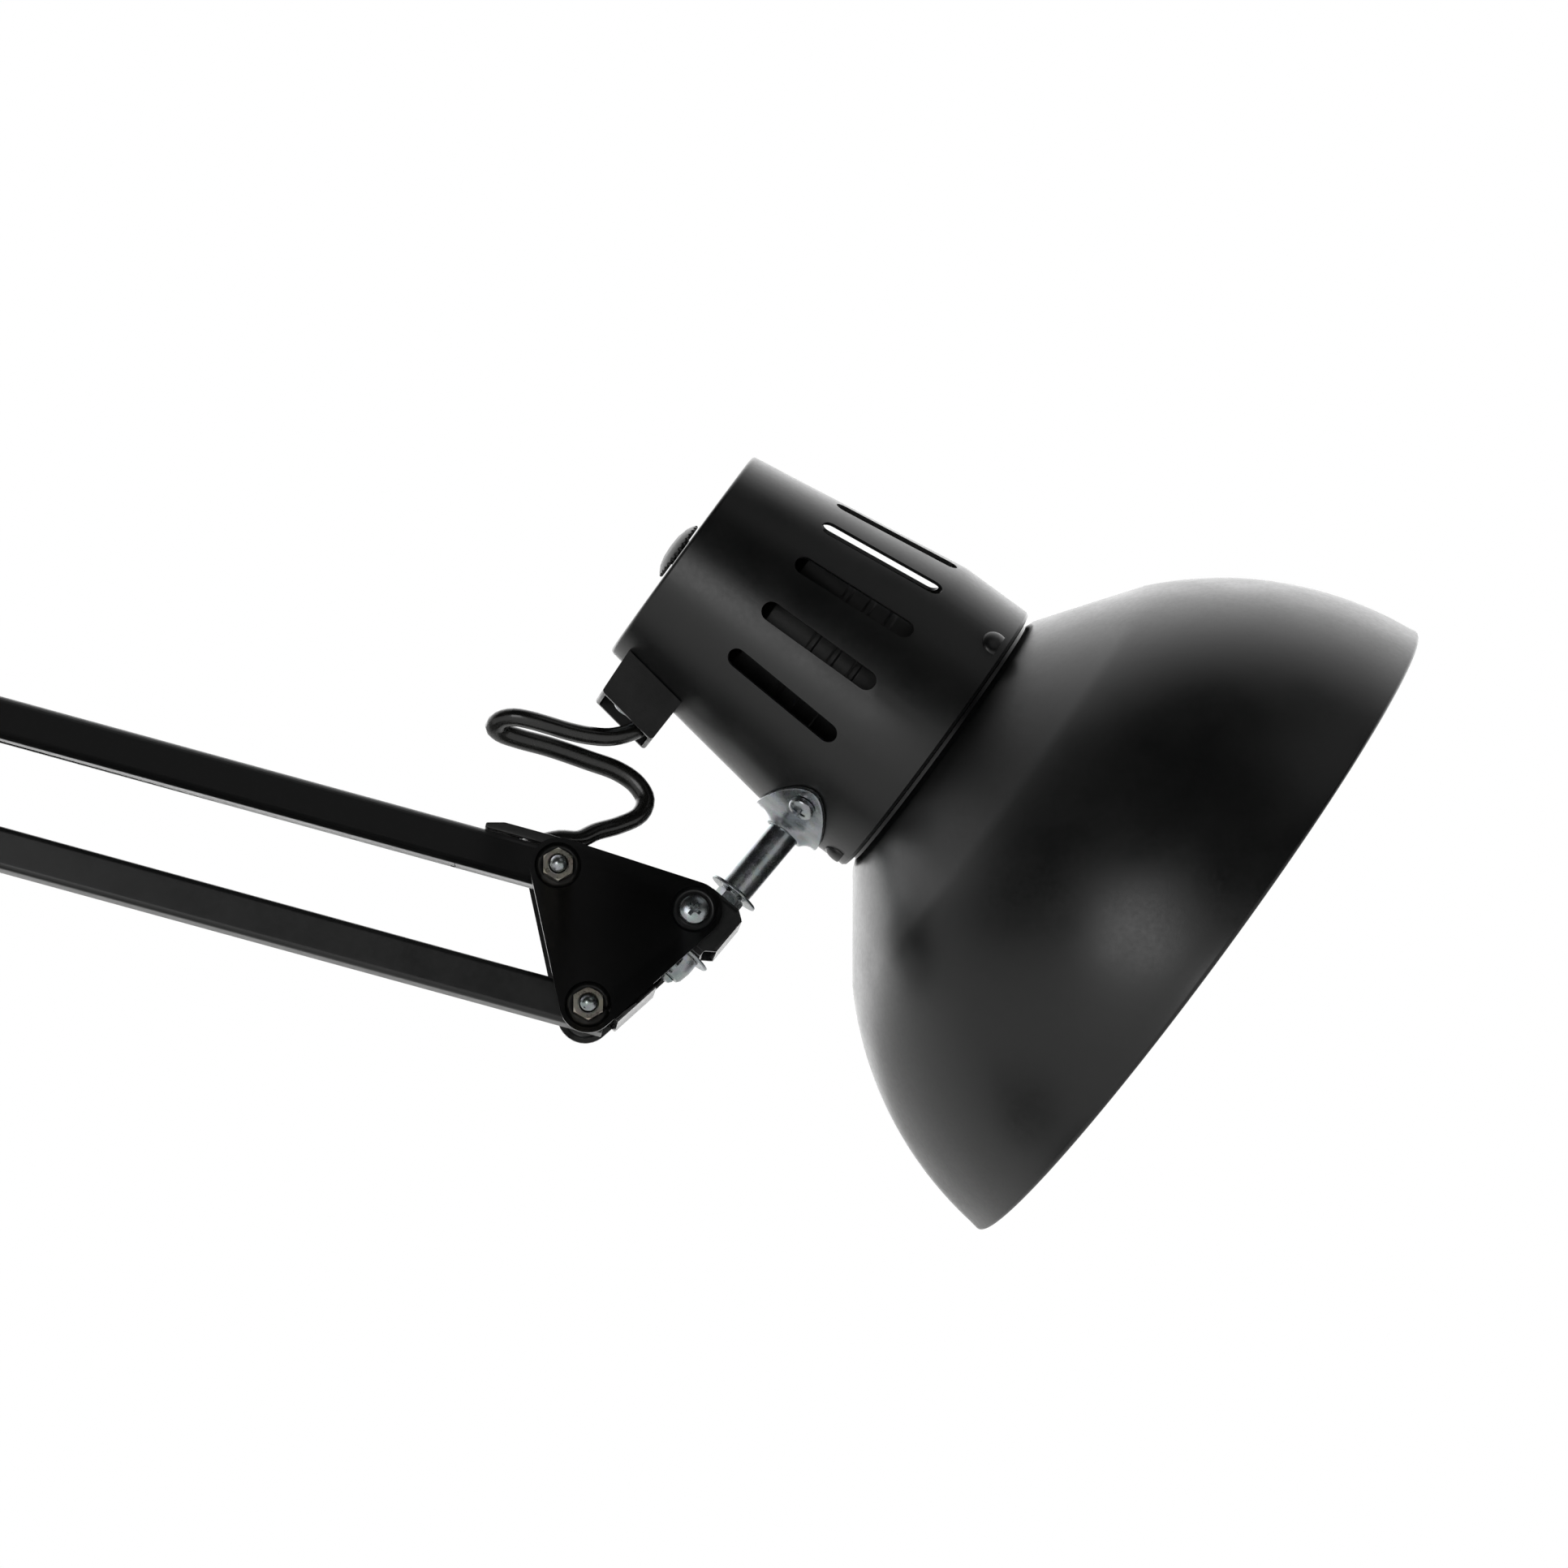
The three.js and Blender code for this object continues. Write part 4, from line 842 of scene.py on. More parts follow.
# ---------- turret ----------
def channel_section(depth, bend):
    """A folded sheet's section as (height, y) pairs: legs up from a web whose outside is at height 0."""
    outer = [(depth, -PLATE_OUTSIDE), (0, -PLATE_OUTSIDE), (0, PLATE_OUTSIDE), (depth, PLATE_OUTSIDE)]
    inner = [(depth, PLATE_INSIDE), (SHEET, PLATE_INSIDE), (SHEET, -PLATE_INSIDE), (depth, -PLATE_INSIDE)]
    radii = [0, bend + SHEET, bend + SHEET, 0, 0, bend, bend, 0]
    return softened(outer + inner, radii, 8)


def make_turret():
    web_top = TURRET_WEB + SHEET
    bore = 5
    post = turned([
        (0, BASE_TOP - 4), (POST_RADIUS - 1, BASE_TOP - 4), (POST_RADIUS, BASE_TOP - 3),
        (POST_RADIUS, COLLAR_TOP + PLAY),
        (10.5, COLLAR_TOP + PLAY), (10.5, TURRET_WEB - PLAY), (bore - PLAY, TURRET_WEB - PLAY),
        *thread(bore - PLAY, web_top, web_top + 5.6), (bore - 1.4, web_top + 6.5), (0, web_top + 6.5),
    ], 72)
    nut = shifted(hex_nut(13, 4, bore - 0.25), z=web_top + PLAY)
    show("turret_spindle", together([post, nut]), METRES, "turret", ZINC, ["turret_post"], 0.25)
    holes = [SPRING_BOLT, FRONT_FOOT, REAR_FOOT]
    foot_z = TURRET_WEB + EDGE_RADIUS
    outline = round_outline([(-4, foot_z), (6, foot_z), flat(FRONT_FOOT), flat(REAR_FOOT)], EDGE_RADIUS)
    section = [(-40, y, TURRET_WEB + height) for height, y in channel_section(60, 1.6)]
    bracket = common(prism(section, (80, 0, 0)), slab(outline, -15, 15))
    inside = [dish(hole, side * PLATE_INSIDE) for hole in holes for side in (-1, 1)]
    outside = [dish(hole, side * PLATE_OUTSIDE) for hole in holes for side in (-1, 1)]
    bores = [rod_y(HOLE_RADIUS, -14, 14, flat(hole)) for hole in holes]
    bracket = cut(cut(boolean(bracket, inside, "UNION"), *outside), *bores)
    tail_outline = softened([(-36, -6.5), (8, -6.5), (8, 6.5), (-36, 6.5)], [3, 0, 0, 3])
    tail = prism([(x, y, TURRET_WEB + 0.01) for x, y in tail_outline], (0, 0, SHEET - 0.02))
    spindle_hole = turned([(0, 0), (bore, 0), (bore, web_top + 6), (0, web_top + 6)])
    bracket = cut(joined(bracket, tail), spindle_hole)
    show("turret_yoke", bracket, METRES, "turret", ENAMEL, ["turret_bracket"], SHEET_EDGE)
    bolt_with_nut("rear_foot_pivot", REAR_FOOT, "turret", ["rear_foot_bolt"])
    bolt_with_nut("front_foot_pivot", FRONT_FOOT, "turret", ["front_foot_bolt"])
    hook_bolt("lower_spring_pivot", SPRING_BOLT, "turret", ["lower_spring_bolt"])
    make_cord_grip(web_top + PLAY)


def make_cord_grip(low):
    """A plastic block on the tail, cord in at its top and out at its back, with a seam along each side."""
    outline = softened([(-35.5, -5.5), (-24.5, -5.5), (-24.5, 5.5), (-35.5, 5.5)], 1.5)
    grip = prism([(x, y, low) for x, y in outline], (0, 0, 12))
    down = turned([(0, 0), (3, 0), (3, 6.2), (3.6, 7.1), (3.6, 8), (0, 8)])
    back = prism([(-38, y, low + 4.4 + z) for y, z in round_outline([(-0.3, 0), (0.3, 0)], 3)], (8, 0, 0))
    seams = [block((-37, y, low + 6.2), (-23, y + 0.5, low + 6.6)) for y in (-5.7, 5.2)]
    grip = cut(grip, shifted(down, -30, 0, low + 4.4), back, *seams)
    show("cord_grip_block", grip, METRES, "turret", PLASTIC, ["cord_grip"], 0.35)


# ---------- arms ----------
def square_tube(length_from, length_to):
    half = BAR_SIZE / 2
    inner = half - BAR_WALL
    outside = softened([(-half, -half), (half, -half), (half, half), (-half, half)], 1.5)
    inside = softened([(-inner, -inner), (inner, -inner), (inner, inner), (-inner, inner)], 0.7)
    bm = bmesh.new()
    loops = [[bm.verts.new((x, y, z)) for y, z in outline]
             for outline, x in ((outside, length_from), (outside, length_to), (inside, length_to),
                                (inside, length_from))]
    bridge(bm, loops, True)
    return to_object(bm)


def round_slot(low, high, half_width):
    """A cutter for a round-ended slot along the bar, through its cord side."""
    ends = [(low + half_width, 0), (high - half_width, 0)]
    return prism([(x, y, 0.5) for x, y in round_outline(ends, half_width)], (0, 0, BAR_SIZE))


def make_bar(name, place, body, node, slots=(), anchor=None):
    bar = square_tube(-BAR_END, ARM_LENGTH + BAR_END)
    if anchor:
        tab = softened([(anchor - 5, -4.5), (anchor + 5, -4.5), (anchor + 2.2, -11.2),
                        (anchor - 2.2, -11.2)], 1.8)
        pin = rod_y(1.5, -9.8, 9.8, (anchor, -SPRING_DROP))
        bar = joined(bar, slab(tab, -1.2, 1.2), pin)
        heads = [shifted(facing(turned([(0, 0), (2.2, 0), *dome(2.2, 0.3, 0.7)], 32), side, 9.0), anchor, 0,
                         -SPRING_DROP)
                 for side in (-1, 1)]
        bar = joined(bar, *heads)
    holes = [rod_y(HOLE_RADIUS, -BAR_SIZE, BAR_SIZE, (x, 0)) for x in (0, ARM_LENGTH)]
    show(name, cut(bar, *holes, *[round_slot(low, high, 3) for low, high in slots]), place, body, ENAMEL,
         [node], 0.2)


def make_bush(name, place, body, node, open_end, direction):
    """A low cord guide: a ramp at its closed end, and a channel that lets the cord out of the bar."""
    low, high = BAR_SIZE / 2 + PLAY, BAR_SIZE / 2 + PLAY + 2.5
    ramp, far = open_end + direction * 19.7, open_end + direction * 24
    outline = softened([(open_end, low), (open_end, high), (ramp, high), (far, low + 1.3), (far, low)],
                       [0, 0.8, 3, 0.5, 0])
    channel_end = open_end + direction * 14.5
    ends = sorted([(channel_end, 0), (open_end - direction * 6, 0)])
    channel = prism([(x, y, low - 1) for x, y in round_outline(ends, 3)], (0, 0, 5))
    bush = cut(slab(outline, -4.6, 4.6), channel)
    show(name, bush, place, body, PLASTIC, [node], 0.4)


def make_arms():
    foot_slot = (FOOT_RISE + 0.9, FOOT_RISE + 14)
    root_slot, tip_slot = (0.9, 14), (ARM_LENGTH - 14, ARM_LENGTH - 0.9)
    make_bar("lower_rear_tube", LOWER_REAR, "lower_rear_bar", "lower_rear_bar", [foot_slot, tip_slot],
             LOWER_REACH)
    make_bar("lower_front_tube", LOWER_FRONT, "lower_front_bar", "lower_front_bar")
    make_bar("upper_top_tube", UPPER_TOP, "upper_top_bar", "upper_top_bar", [root_slot, tip_slot],
             UPPER_REACH)
    make_bar("upper_bottom_tube", UPPER_BOTTOM, "upper_bottom_bar", "upper_bottom_bar")
    make_bush("lower_foot_guide", LOWER_REAR, "lower_rear_bar", "lower_foot_bush", FOOT_RISE - BUSH_PAST, 1)
    make_bush("lower_tip_guide", LOWER_REAR, "lower_rear_bar", "lower_tip_bush", ARM_LENGTH + BUSH_PAST, -1)
    make_bush("upper_root_guide", UPPER_TOP, "upper_top_bar", "upper_root_bush", -BUSH_PAST, 1)
    make_bush("upper_tip_guide", UPPER_TOP, "upper_top_bar", "upper_tip_bush", ARM_LENGTH + BUSH_PAST, -1)


def make_elbow():
    corners = [REAR_TOP, FRONT_TOP, BOTTOM_ROOT, TOP_ROOT]
    holes = [*corners, ELBOW_SPRING_BOLT]
    outline = round_outline([flat(corner) for corner in corners], EDGE_RADIUS)
    for side, word in ((-1, "near"), (1, "far")):
        show(f"elbow_cheek_{word}", plate(outline, holes, side), METRES, "elbow", ENAMEL,
             [f"elbow_plate_{word}"], SHEET_EDGE)
    for word, hole in zip(("rear", "front", "bottom", "top"), corners):
        bolt_with_nut(f"elbow_{word}_pivot", hole, "elbow", [f"elbow_{word}_bolt"])
    hook_bolt("upper_spring_pivot", ELBOW_SPRING_BOLT, "elbow", ["upper_spring_bolt"])


# ---------- balance springs ----------
def spring_path(length, side):
    """A close helix with a hook at each end; +Z runs from one pin to the other, and the pins lie along Y."""
    radius, pitch, first, steps = 3.3, 2.0, 9, 18
    count = round((length - 2 * first) / pitch)
    rise = (length - 2 * first) / count
    coil = []
    for i in range(count * steps + 1):
        angle = 2 * math.pi * i / steps
        coil.append(Vector((radius * math.cos(angle), radius * math.sin(angle), first + rise * i / steps)))
    eye = 2.6
    loop = [Vector((eye * math.sin(a), 0, -eye * math.cos(a)))
            for a in (math.radians(d) for d in range(-150, 151, 15))]
    start = [*loop, Vector((1.6, 0, 5.2)), Vector((2.8, 0, 7.4))]
    end = [Vector((2.8, 0, length - 7.4)), Vector((1.6, 0, length - 5.2)),
           *[Vector((-p.x, 0, length - p.z)) for p in loop]]
    if side < 0:
        start, end = start, end
    return smooth_route([*start, *coil[4:-4:3], *end], 0.9)


def make_spring(name, node, pin, anchor, side):
    span = anchor - pin
    path = spring_path(span.length, side)
    spring = sweep(path, oval(0.5, 0.5, 8))
    turn = Vector((0, 0, 1)).rotation_difference(span.normalized()).to_matrix().to_4x4()
    place = METRES @ Matrix.Translation(pin + Vector((0, side * SPRING_SIDE, 0))) @ turn
    show(name, spring, place, None, SPRING_STEEL, [node], 0)
    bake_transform(spring)


def make_springs():
    lower_anchor = REAR_FOOT + along(LOWER_REACH, LOWER_ARM_ANGLE) - along(SPRING_DROP, LOWER_ARM_ANGLE + 90)
    upper_anchor = TOP_ROOT + along(UPPER_REACH, UPPER_ARM_ANGLE) - along(SPRING_DROP, UPPER_ARM_ANGLE + 90)
    for side, word in ((-1, "near"), (1, "far")):
        make_spring(f"lower_coil_{word}", f"lower_spring_{word}", SPRING_BOLT, lower_anchor, side)
        make_spring(f"upper_coil_{word}", f"upper_spring_{word}", ELBOW_SPRING_BOLT, upper_anchor, side)


# ---------- head bracket ----------
def make_head_bracket():
    holes = [TOP_TIP, BOTTOM_TIP, TILT_HOLE]
    outline = round_outline([flat(hole) for hole in (BOTTOM_TIP, TILT_HOLE, TOP_TIP)], EDGE_RADIUS)
    edge = (TILT_HOLE - BOTTOM_TIP).normalized()
    outward = Vector((edge.z, 0, -edge.x))
    web_outside = 7.9
    inset = 0.998
    section = [BOTTOM_TIP + edge * 2.6 + outward * (web_outside - height) + Vector((0, y * inset, 0))
               for height, y in channel_section(4.5, 1.3)]
    bracket = joined(plate(outline, holes, -1), plate(outline, holes, 1), prism(section, edge * 12.4))
    show("head_bracket_sheet", bracket, METRES, "head_bracket", ENAMEL, ["head_bracket"], SHEET_EDGE)
    for word, hole in (("top", TOP_TIP), ("bottom", BOTTOM_TIP)):
        show(f"head_{word}_pivot", at_hole(pivot_bolt(), hole), METRES, "head_bracket", ZINC,
             [f"head_{word}_bolt"], BOLT_EDGE)
        show(f"head_{word}_hexagon", at_hole(pivot_nut(), hole), METRES, "head_bracket", NICKEL,
             [f"head_{word}_nut"], BOLT_EDGE)


# ---------- yoke ----------
def make_yoke():
    outside = SLEEVE_OUT
    inside = outside - SHEET
    tilt = flat(TILT_IN_STEM)
    outline = [
        *softened([(-4, -18.6), (4, -18.6), (4, -17), (6.4, -15.3), (6.4, -5.7), (4, -4), (-4, -4)],
                  [1, 0.6, 0.8, 1, 1, 0.8, 1]),
        *arc(tilt, 6, 154, 206),
    ]
    legs = [cut(slab(outline, low, high), rod_y(HOLE_RADIUS, low - 1, high + 1, tilt))
            for low, high in ((-outside, -inside), (inside, outside))]
    web = block((5.2, -outside, -15.3), (6.4, outside, -5.7))
    rod_hole = turned([(0, -30), (ROD_RADIUS + PLAY, -30), (ROD_RADIUS + PLAY, 0), (0, 0)], 40)
    tabs = [block((-4, -outside, low), (4, outside, high)) for low, high in ((-5.2, -4), (-18.6, -17.4))]
    yoke = cut(joined(legs[0], legs[1], web, *tabs), rod_hole)
    show("yoke_sheet", yoke, STEM_FRAME, "yoke", ENAMEL, ["yoke"], 0.3)
    nut_in = inside - PLAY
    for side, word in ((-1, "near"), (1, "far")):
        screw = facing(pan_head(HEAD_RADIUS, HEAD_HEIGHT, SEAT - nut_in), side, SEAT)
        nut = facing(hex_nut(6.2, 2.4, BOLT_RADIUS + 0.05), side, nut_in - 2.4)
        shape = shifted(together([screw, nut]), tilt[0], 0, tilt[1])
        show(f"tilt_screw_{word}_cross", shape, STEM_FRAME, "yoke", ZINC, [f"tilt_screw_{word}"], BOLT_EDGE)


# ---------- head: stem and wing nut ----------
def make_stem():
    place = HEAD_STEM_FRAME
    stem = turned([
        (0, -27.5), (ROD_RADIUS - 0.7, -27.5), *thread(ROD_RADIUS, -26.9, -4.1), (ROD_RADIUS, -3.8),
        (ROD_RADIUS, PLAY),
        (STEM_RADIUS - 0.2, PLAY), (STEM_RADIUS, PLAY + 0.25), (STEM_RADIUS, STEM_LENGTH - 0.2),
        (STEM_RADIUS - 0.2, STEM_LENGTH), (0, STEM_LENGTH),
    ], 64)
    show("stem_rod", stem, place, "head", ZINC, ["stem"], 0.08)
    bore = ROD_RADIUS + 0.05
    washer = turned([(bore, -0.7), (6.5, -0.7), (6.5, 0), (bore, 0)], 64)
    show("stem_washer", washer, place, "head", ZINC, ["stem_top_washer"], 0.18)
    spacer = shifted(hex_nut(6.4, 2.7, bore), z=-3.7)
    show("stem_hexagon", spacer, place, "head", ZINC, ["stem_spacer"], 0.15)


def make_wing_nut():
    top, height = -19.4, 6.6
    bottom = top - height
    hub = turned([(0, bottom), (3.4, bottom), (3.9, bottom + 0.8), (4.4, bottom + 3.4), (4.4, top - 0.2),
                  (0, top - 0.2)])
    ear = [(0, top - 1), (0, bottom + 0.6), (5.2, bottom + 0.2), *arc((5.6, bottom + 2.2), 2.4, -70, 75),
           (4, top - 1.6)]
    ears = [turned_by(slab(softened(ear, 0.5, 3), -0.9, 0.9), turn, "Z") for turn in (90, -90)]
    washer = turned([(0, top - 0.1), (6.7, top - 0.1), (7, top + 0.2), (7, top + 0.5), (6.8, top + 0.6),
                     (0, top + 0.6)])
    rod_hole = turned([(0, -30), (ROD_RADIUS + 0.1, -30), (ROD_RADIUS + 0.1, 0), (0, 0)], 40)
    show("wing_nut_casting", cut(joined(hub, washer, *ears), rod_hole), HEAD_STEM_FRAME, "wing_nut", ZINC,
         ["wing_nut"], 0.35)


# ---------- head: shade, housing and what is on them ----------
def shade_radius(height, curve):
    return math.sqrt(curve ** 2 - (height - SHADE_CENTRE) ** 2)


def make_shade():
    count, sides = 26, 256
    heights = [3 + (SHADE_CURVE_END - 3) * i / count for i in range(count + 1)]
    outside = [(shade_radius(h, SHADE_CURVE), h) for h in heights]
    inside = [(shade_radius(h, SHADE_CURVE - SHADE_SHEET), h) for h in reversed(heights)]
    neck = HOUSING_RADIUS - HOUSING_SHEET - 2.2
    rim = arc((MOUTH_RADIUS - 0.75, 0.85), 0.85, 200, 380, 14)
    profile = [
        *rim, *outside, (SHADE_NECK_RADIUS + 0.3, SHADE_NECK_HEIGHT - 0.4),
        (SHADE_NECK_RADIUS - 0.3, SHADE_NECK_HEIGHT),
        (neck, SHADE_NECK_HEIGHT + 0.9), (neck, 90), (neck - SHADE_SHEET, 90),
        (neck - SHADE_SHEET, SHADE_NECK_HEIGHT),
        (SHADE_NECK_RADIUS - 1.2, SHADE_NECK_HEIGHT - 0.6), *inside,
    ]
    shade = turned(profile, sides)
    show("shade_bell", shade, HEAD_FRAME, "head", ENAMEL, ["shade"], 0, 50)
    shade.data.materials.append(WHITE.material)
    ring_count = len(profile)
    last_outside = len(rim) + len(outside) + 3
    for polygon in shade.data.polygons:
        ring = min(polygon.vertices[0] // sides, polygon.vertices[-1] // sides)
        polygon.material_index = 1 if last_outside <= ring < ring_count - 1 or ring == 0 else 0


def housing_radius(height):
    taper = (HOUSING_RADIUS - HOUSING_BACK_RADIUS) / (HOUSING_BACK - HOUSING_TAPER_START)
    return HOUSING_RADIUS - taper * max(0, height - HOUSING_TAPER_START)


def slot_cutter(degrees):
    straight = (SLOT_LENGTH - SLOT_WIDTH) / 2
    outline = round_outline([(-straight, 0), (straight, 0)], SLOT_WIDTH / 2, 10)
    cutter = prism([(20, y, SLOT_MIDDLE + h) for h, y in outline], (30, 0, 0))
    return turned_by(cutter, degrees, "Z")


def make_detent(degrees):
    """A small pressed lug on the housing's front band, open towards the shade."""
    half_round, half_deep, proud = 3.7, 3.4, 1.5
    lug = turned(dome(1, 0, 1, 12)[::-1] + [(0, 0)], 40)
    moved(lug, Matrix.Diagonal((half_deep, half_round, proud, 1)))
    lug = common(lug, block((-1.1, -5, -1), (5, 5, 5)))
    turned_by(lug, 90, "Y")
    turned_by(lug, 180, "X")
    return turned_by(shifted(lug, HOUSING_RADIUS - 0.25, 0, 82.2), degrees, "Z")


def make_housing():
    knob_bore = 4.2
    curve_in = HOUSING_BACK - 2.2
    back = [(housing_radius(curve_in), curve_in), *softened(
        [(housing_radius(curve_in), curve_in), (HOUSING_BACK_RADIUS, HOUSING_BACK),
         (HOUSING_BACK_RADIUS - 2.4, HOUSING_BACK)],
        1.9, 8, False)[1:]]
    ring = [(HOUSING_RADIUS - 1.6, HOUSING_FRONT), (HOUSING_RADIUS - 0.5, HOUSING_FRONT + 0.3),
            (HOUSING_RADIUS, HOUSING_FRONT + 1)]
    wall = HOUSING_SHEET
    profile = [
        *ring, (HOUSING_RADIUS, HOUSING_TAPER_START), *back, (knob_bore, HOUSING_BACK),
        (knob_bore, HOUSING_BACK - wall),
        (HOUSING_BACK_RADIUS - 2.4, HOUSING_BACK - wall), (housing_radius(curve_in) - wall, curve_in - 0.6),
        (HOUSING_RADIUS - wall, HOUSING_TAPER_START), (HOUSING_RADIUS - wall, HOUSING_FRONT + 1.4),
        (HOUSING_RADIUS - 1.6, HOUSING_FRONT + wall),
    ]
    middle = (SLOT_COUNT - 1) / 2
    slots = [slot_cutter(180 + SLOT_PITCH * (i - middle)) for i in range(SLOT_COUNT)]
    shell = cut(turned(profile, 240), *slots)
    shell = boolean(shell, [make_detent(degrees) for degrees in (5, 125, 245)], "UNION")
    show("housing_can", shell, HEAD_FRAME, "head", ENAMEL, ["housing"], 0.16)


def make_saddle():
    """A leaf of pressed sheet round the housing's underside, drawn up into a short collar for the stem."""
    middle, half_height, half_width, thickness = 96.2, 9.2, 22.5, 1.1
    neck_middle, collar, rise, flare = 95.6, 4.95, 1.7, 9.0
    sides = 120
    rings = [2, 4.1, 4.2, 4.45, 4.75, collar, 5.15, 5.4, 5.8, 6.4, 7.1, 7.8]
    blends = [0.04, 0.1, 0.18, 0.28, 0.4, 0.52, 0.64, 0.76, 0.87, 0.95, 1]

    def lift(distance):
        if distance < 4.15 or distance > flare:
            return 0
        if distance < collar:
            return rise
        t = (flare - distance) / (flare - collar)
        return rise * t * t * t

    def surface(h, y):
        skin = housing_radius(h) + PLAY + thickness
        distance = math.hypot(h - neck_middle, y)
        return Vector((math.sqrt(skin * skin - y * y) + lift(distance), y, h))

    bm = bmesh.new()
    centre = bm.verts.new(surface(neck_middle, 0))
    loops = []
    for radius, blend in [(r, 0) for r in rings] + [(rings[-1], b) for b in blends]:
        loop = []
        for angle in circle(sides):
            c, s = math.cos(angle), math.sin(angle)
            inner = Vector((neck_middle + radius * c, radius * s))
            outer = Vector((middle + half_height * c, half_width * s))
            loop.append(bm.verts.new(surface(*inner.lerp(outer, blend))))
        loops.append(loop)
    for i in range(sides):
        j = (i + 1) % sides
        bm.faces.new((centre, loops[0][j], loops[0][i]))
        for first, last in zip(loops, loops[1:]):
            bm.faces.new((first[i], first[j], last[j], last[i]))
    saddle = to_object(bm)
    outwards = sum((p.normal.x * p.area for p in saddle.data.polygons))
    if outwards < 0:
        saddle.data.flip_normals()
    show("saddle_strap", saddle, HEAD_FRAME, "head", ZINC, ["saddle"], 0)
    sheet = saddle.modifiers.new("sheet", "SOLIDIFY")
    sheet.thickness = thickness / 1000
    sheet.offset = -1
    rim = saddle.modifiers.new("rim", "BEVEL")
    rim.width = 0.00022
    rim.segments = 2
    rim.angle_limit = math.radians(50)
    screw_angle, screw_radius = 26, 3.3
    for side, word in ((1, "near"), (-1, "far")):
        head = shifted(pan_head(screw_radius, 2.2), z=housing_radius(middle) + PLAY + thickness + 0.1)
        head = shifted(turned_by(turned_by(head, 90, "Y"), side * screw_angle, "Z"), z=middle)
        show(f"saddle_screw_{word}_cross", head, HEAD_FRAME, "head", ZINC, [f"saddle_screw_{word}"],
             BOLT_EDGE)


def make_cord_box():
    """A plastic box under the back of the housing, open on its outer side, with a small cord clamp."""
    front, back, half, root, tip_front, tip_back = 134.3, 152.1, 10, 27, 43, 40.4
    outline = softened([(root, front), (tip_front, front + 0.6), (tip_back, back - 0.6), (root, back)],
                       [0, 1, 1, 0])
    body = prism([(x, -half, h) for x, h in outline], (0, 2 * half, 0))
    seat = turned([(0, 120), (housing_radius(120) + PLAY, 120),
                   (housing_radius(HOUSING_BACK) + PLAY, HOUSING_BACK),
                   (0, HOUSING_BACK)], 160)
    pocket_outline = softened([(front + 1.6, -half + 1.4), (back - 1.8, -half + 1.4),
                               (back - 1.8, half - 1.4),
                               (front + 1.6, half - 1.4)], 0.8)
    pocket = prism([(36, y, h) for h, y in pocket_outline], (14, 0, 0))
    show("cord_box_shell", cut(body, seat, pocket), HEAD_FRAME, "head", PLASTIC, ["cord_box"], 0.45)
    screw_y, screw_h = 4.4, 144.7
    strip = softened([(142, 0.4), (147.4, 0.4), (147.4, 8.2), (142, 8.2)], 0.8)
    clamp = prism([(37.8, y, h) for h, y in strip], (1.6, 0, 0))
    head = shifted(turned_by(pan_head(2.6, 1.6), 90, "Y"), 39.5, screw_y, screw_h)
    show("cord_clamp_strip", together([clamp, head]), HEAD_FRAME, "head", ZINC, ["cord_clamp"], 0.15)


def make_lamp():
    cap_radius, globe, globe_centre, neck = 13.2, 30, 64, 113
    radius, rim, mouth, shoulder, floor, waist, back = 24.5, 21, 98.5, 131, 142, 16, 154.4
    ribs = []
    for low in (mouth + 6, mouth + 12, mouth + 18):
        ribs += [(radius, low), (radius - 0.5, low + 0.4), (radius - 0.5, low + 1.6), (radius, low + 2)]
    holder = turned([
        (0, floor), (cap_radius + 0.8, floor), (cap_radius + 0.8, neck - 1), (rim, neck - 7),
        (rim, mouth + 0.5),
        (rim + 0.5, mouth), (radius - 0.6, mouth), (radius, mouth + 0.6), *ribs, (radius, shoulder - 1),
        (radius - 0.8, shoulder), (waist, floor - 4), (waist, back - 4), (waist - 3, back - 4),
        (waist - 3, back), (0, back),
    ], 96)
    show("lampholder_body", holder, HEAD_FRAME, "head", PLASTIC, ["lampholder"], 0.25)
    ridges = []
    for i in range(7):
        low = neck + PLAY + 1.5 + i * 2.5
        ridges += [(cap_radius - 0.7, low), (cap_radius - 0.15, low + 0.7), (cap_radius - 0.05, low + 1.25),
                   (cap_radius - 0.15, low + 1.8)]
    cap = turned([(cap_radius - 1.2, neck + PLAY), (cap_radius - 0.1, neck + PLAY), *ridges,
                  (cap_radius - 0.7, 132.4), (7, 137.5), (4, 139.5), (0, 139.5),
                  (0, 137.5), (6, 135.5), (cap_radius - 1.2, 131.5)], 96)
    show("bulb_screw_cap", cap, HEAD_FRAME, "head", BRASS, ["bulb_cap"], 0, 50)

    def glass(inset):
        round_part = arc((0, globe_centre), globe - inset, -90, 32, 30)
        shoulder = softened([round_part[-1], (15.5 - inset, 98), (12.6 - inset, neck)], 30, 12, False)
        return round_part + shoulder[1:]

    skin = turned(glass(0) + glass(0.8)[::-1], 128)
    show("bulb_glass", skin, HEAD_FRAME, "head", GLASS, ["bulb_globe"], 0, 60)


def make_knob():
    foot = HOUSING_BACK + PLAY + 0.2
    knob = turned([
        (0, HOUSING_BACK - 0.9), (3.6, HOUSING_BACK - 0.9), (3.6, foot), (7.3, foot), (7.6, foot + 0.25),
        (7.6, foot + 0.6),
        (7.0, foot + 1.1), (5.6, foot + 1.9), (3, foot + 2.6), (0, foot + 2.8),
    ], 96)
    flutes = [turned_by(shifted(turned([(0, 0), (0.5, 0), (0.5, 3), (0, 3)], 12), 7.75, 0, foot - 1),
                        12 * i, "Z") for i in range(30)]
    mark = block((3.4, -0.4, foot + 1.9), (6.2, 0.4, foot + 4))
    show("switch_knob_cap", cut(knob, *flutes, mark), HEAD_FRAME, "switch_knob", PLASTIC, ["switch_knob"],
         0.15)


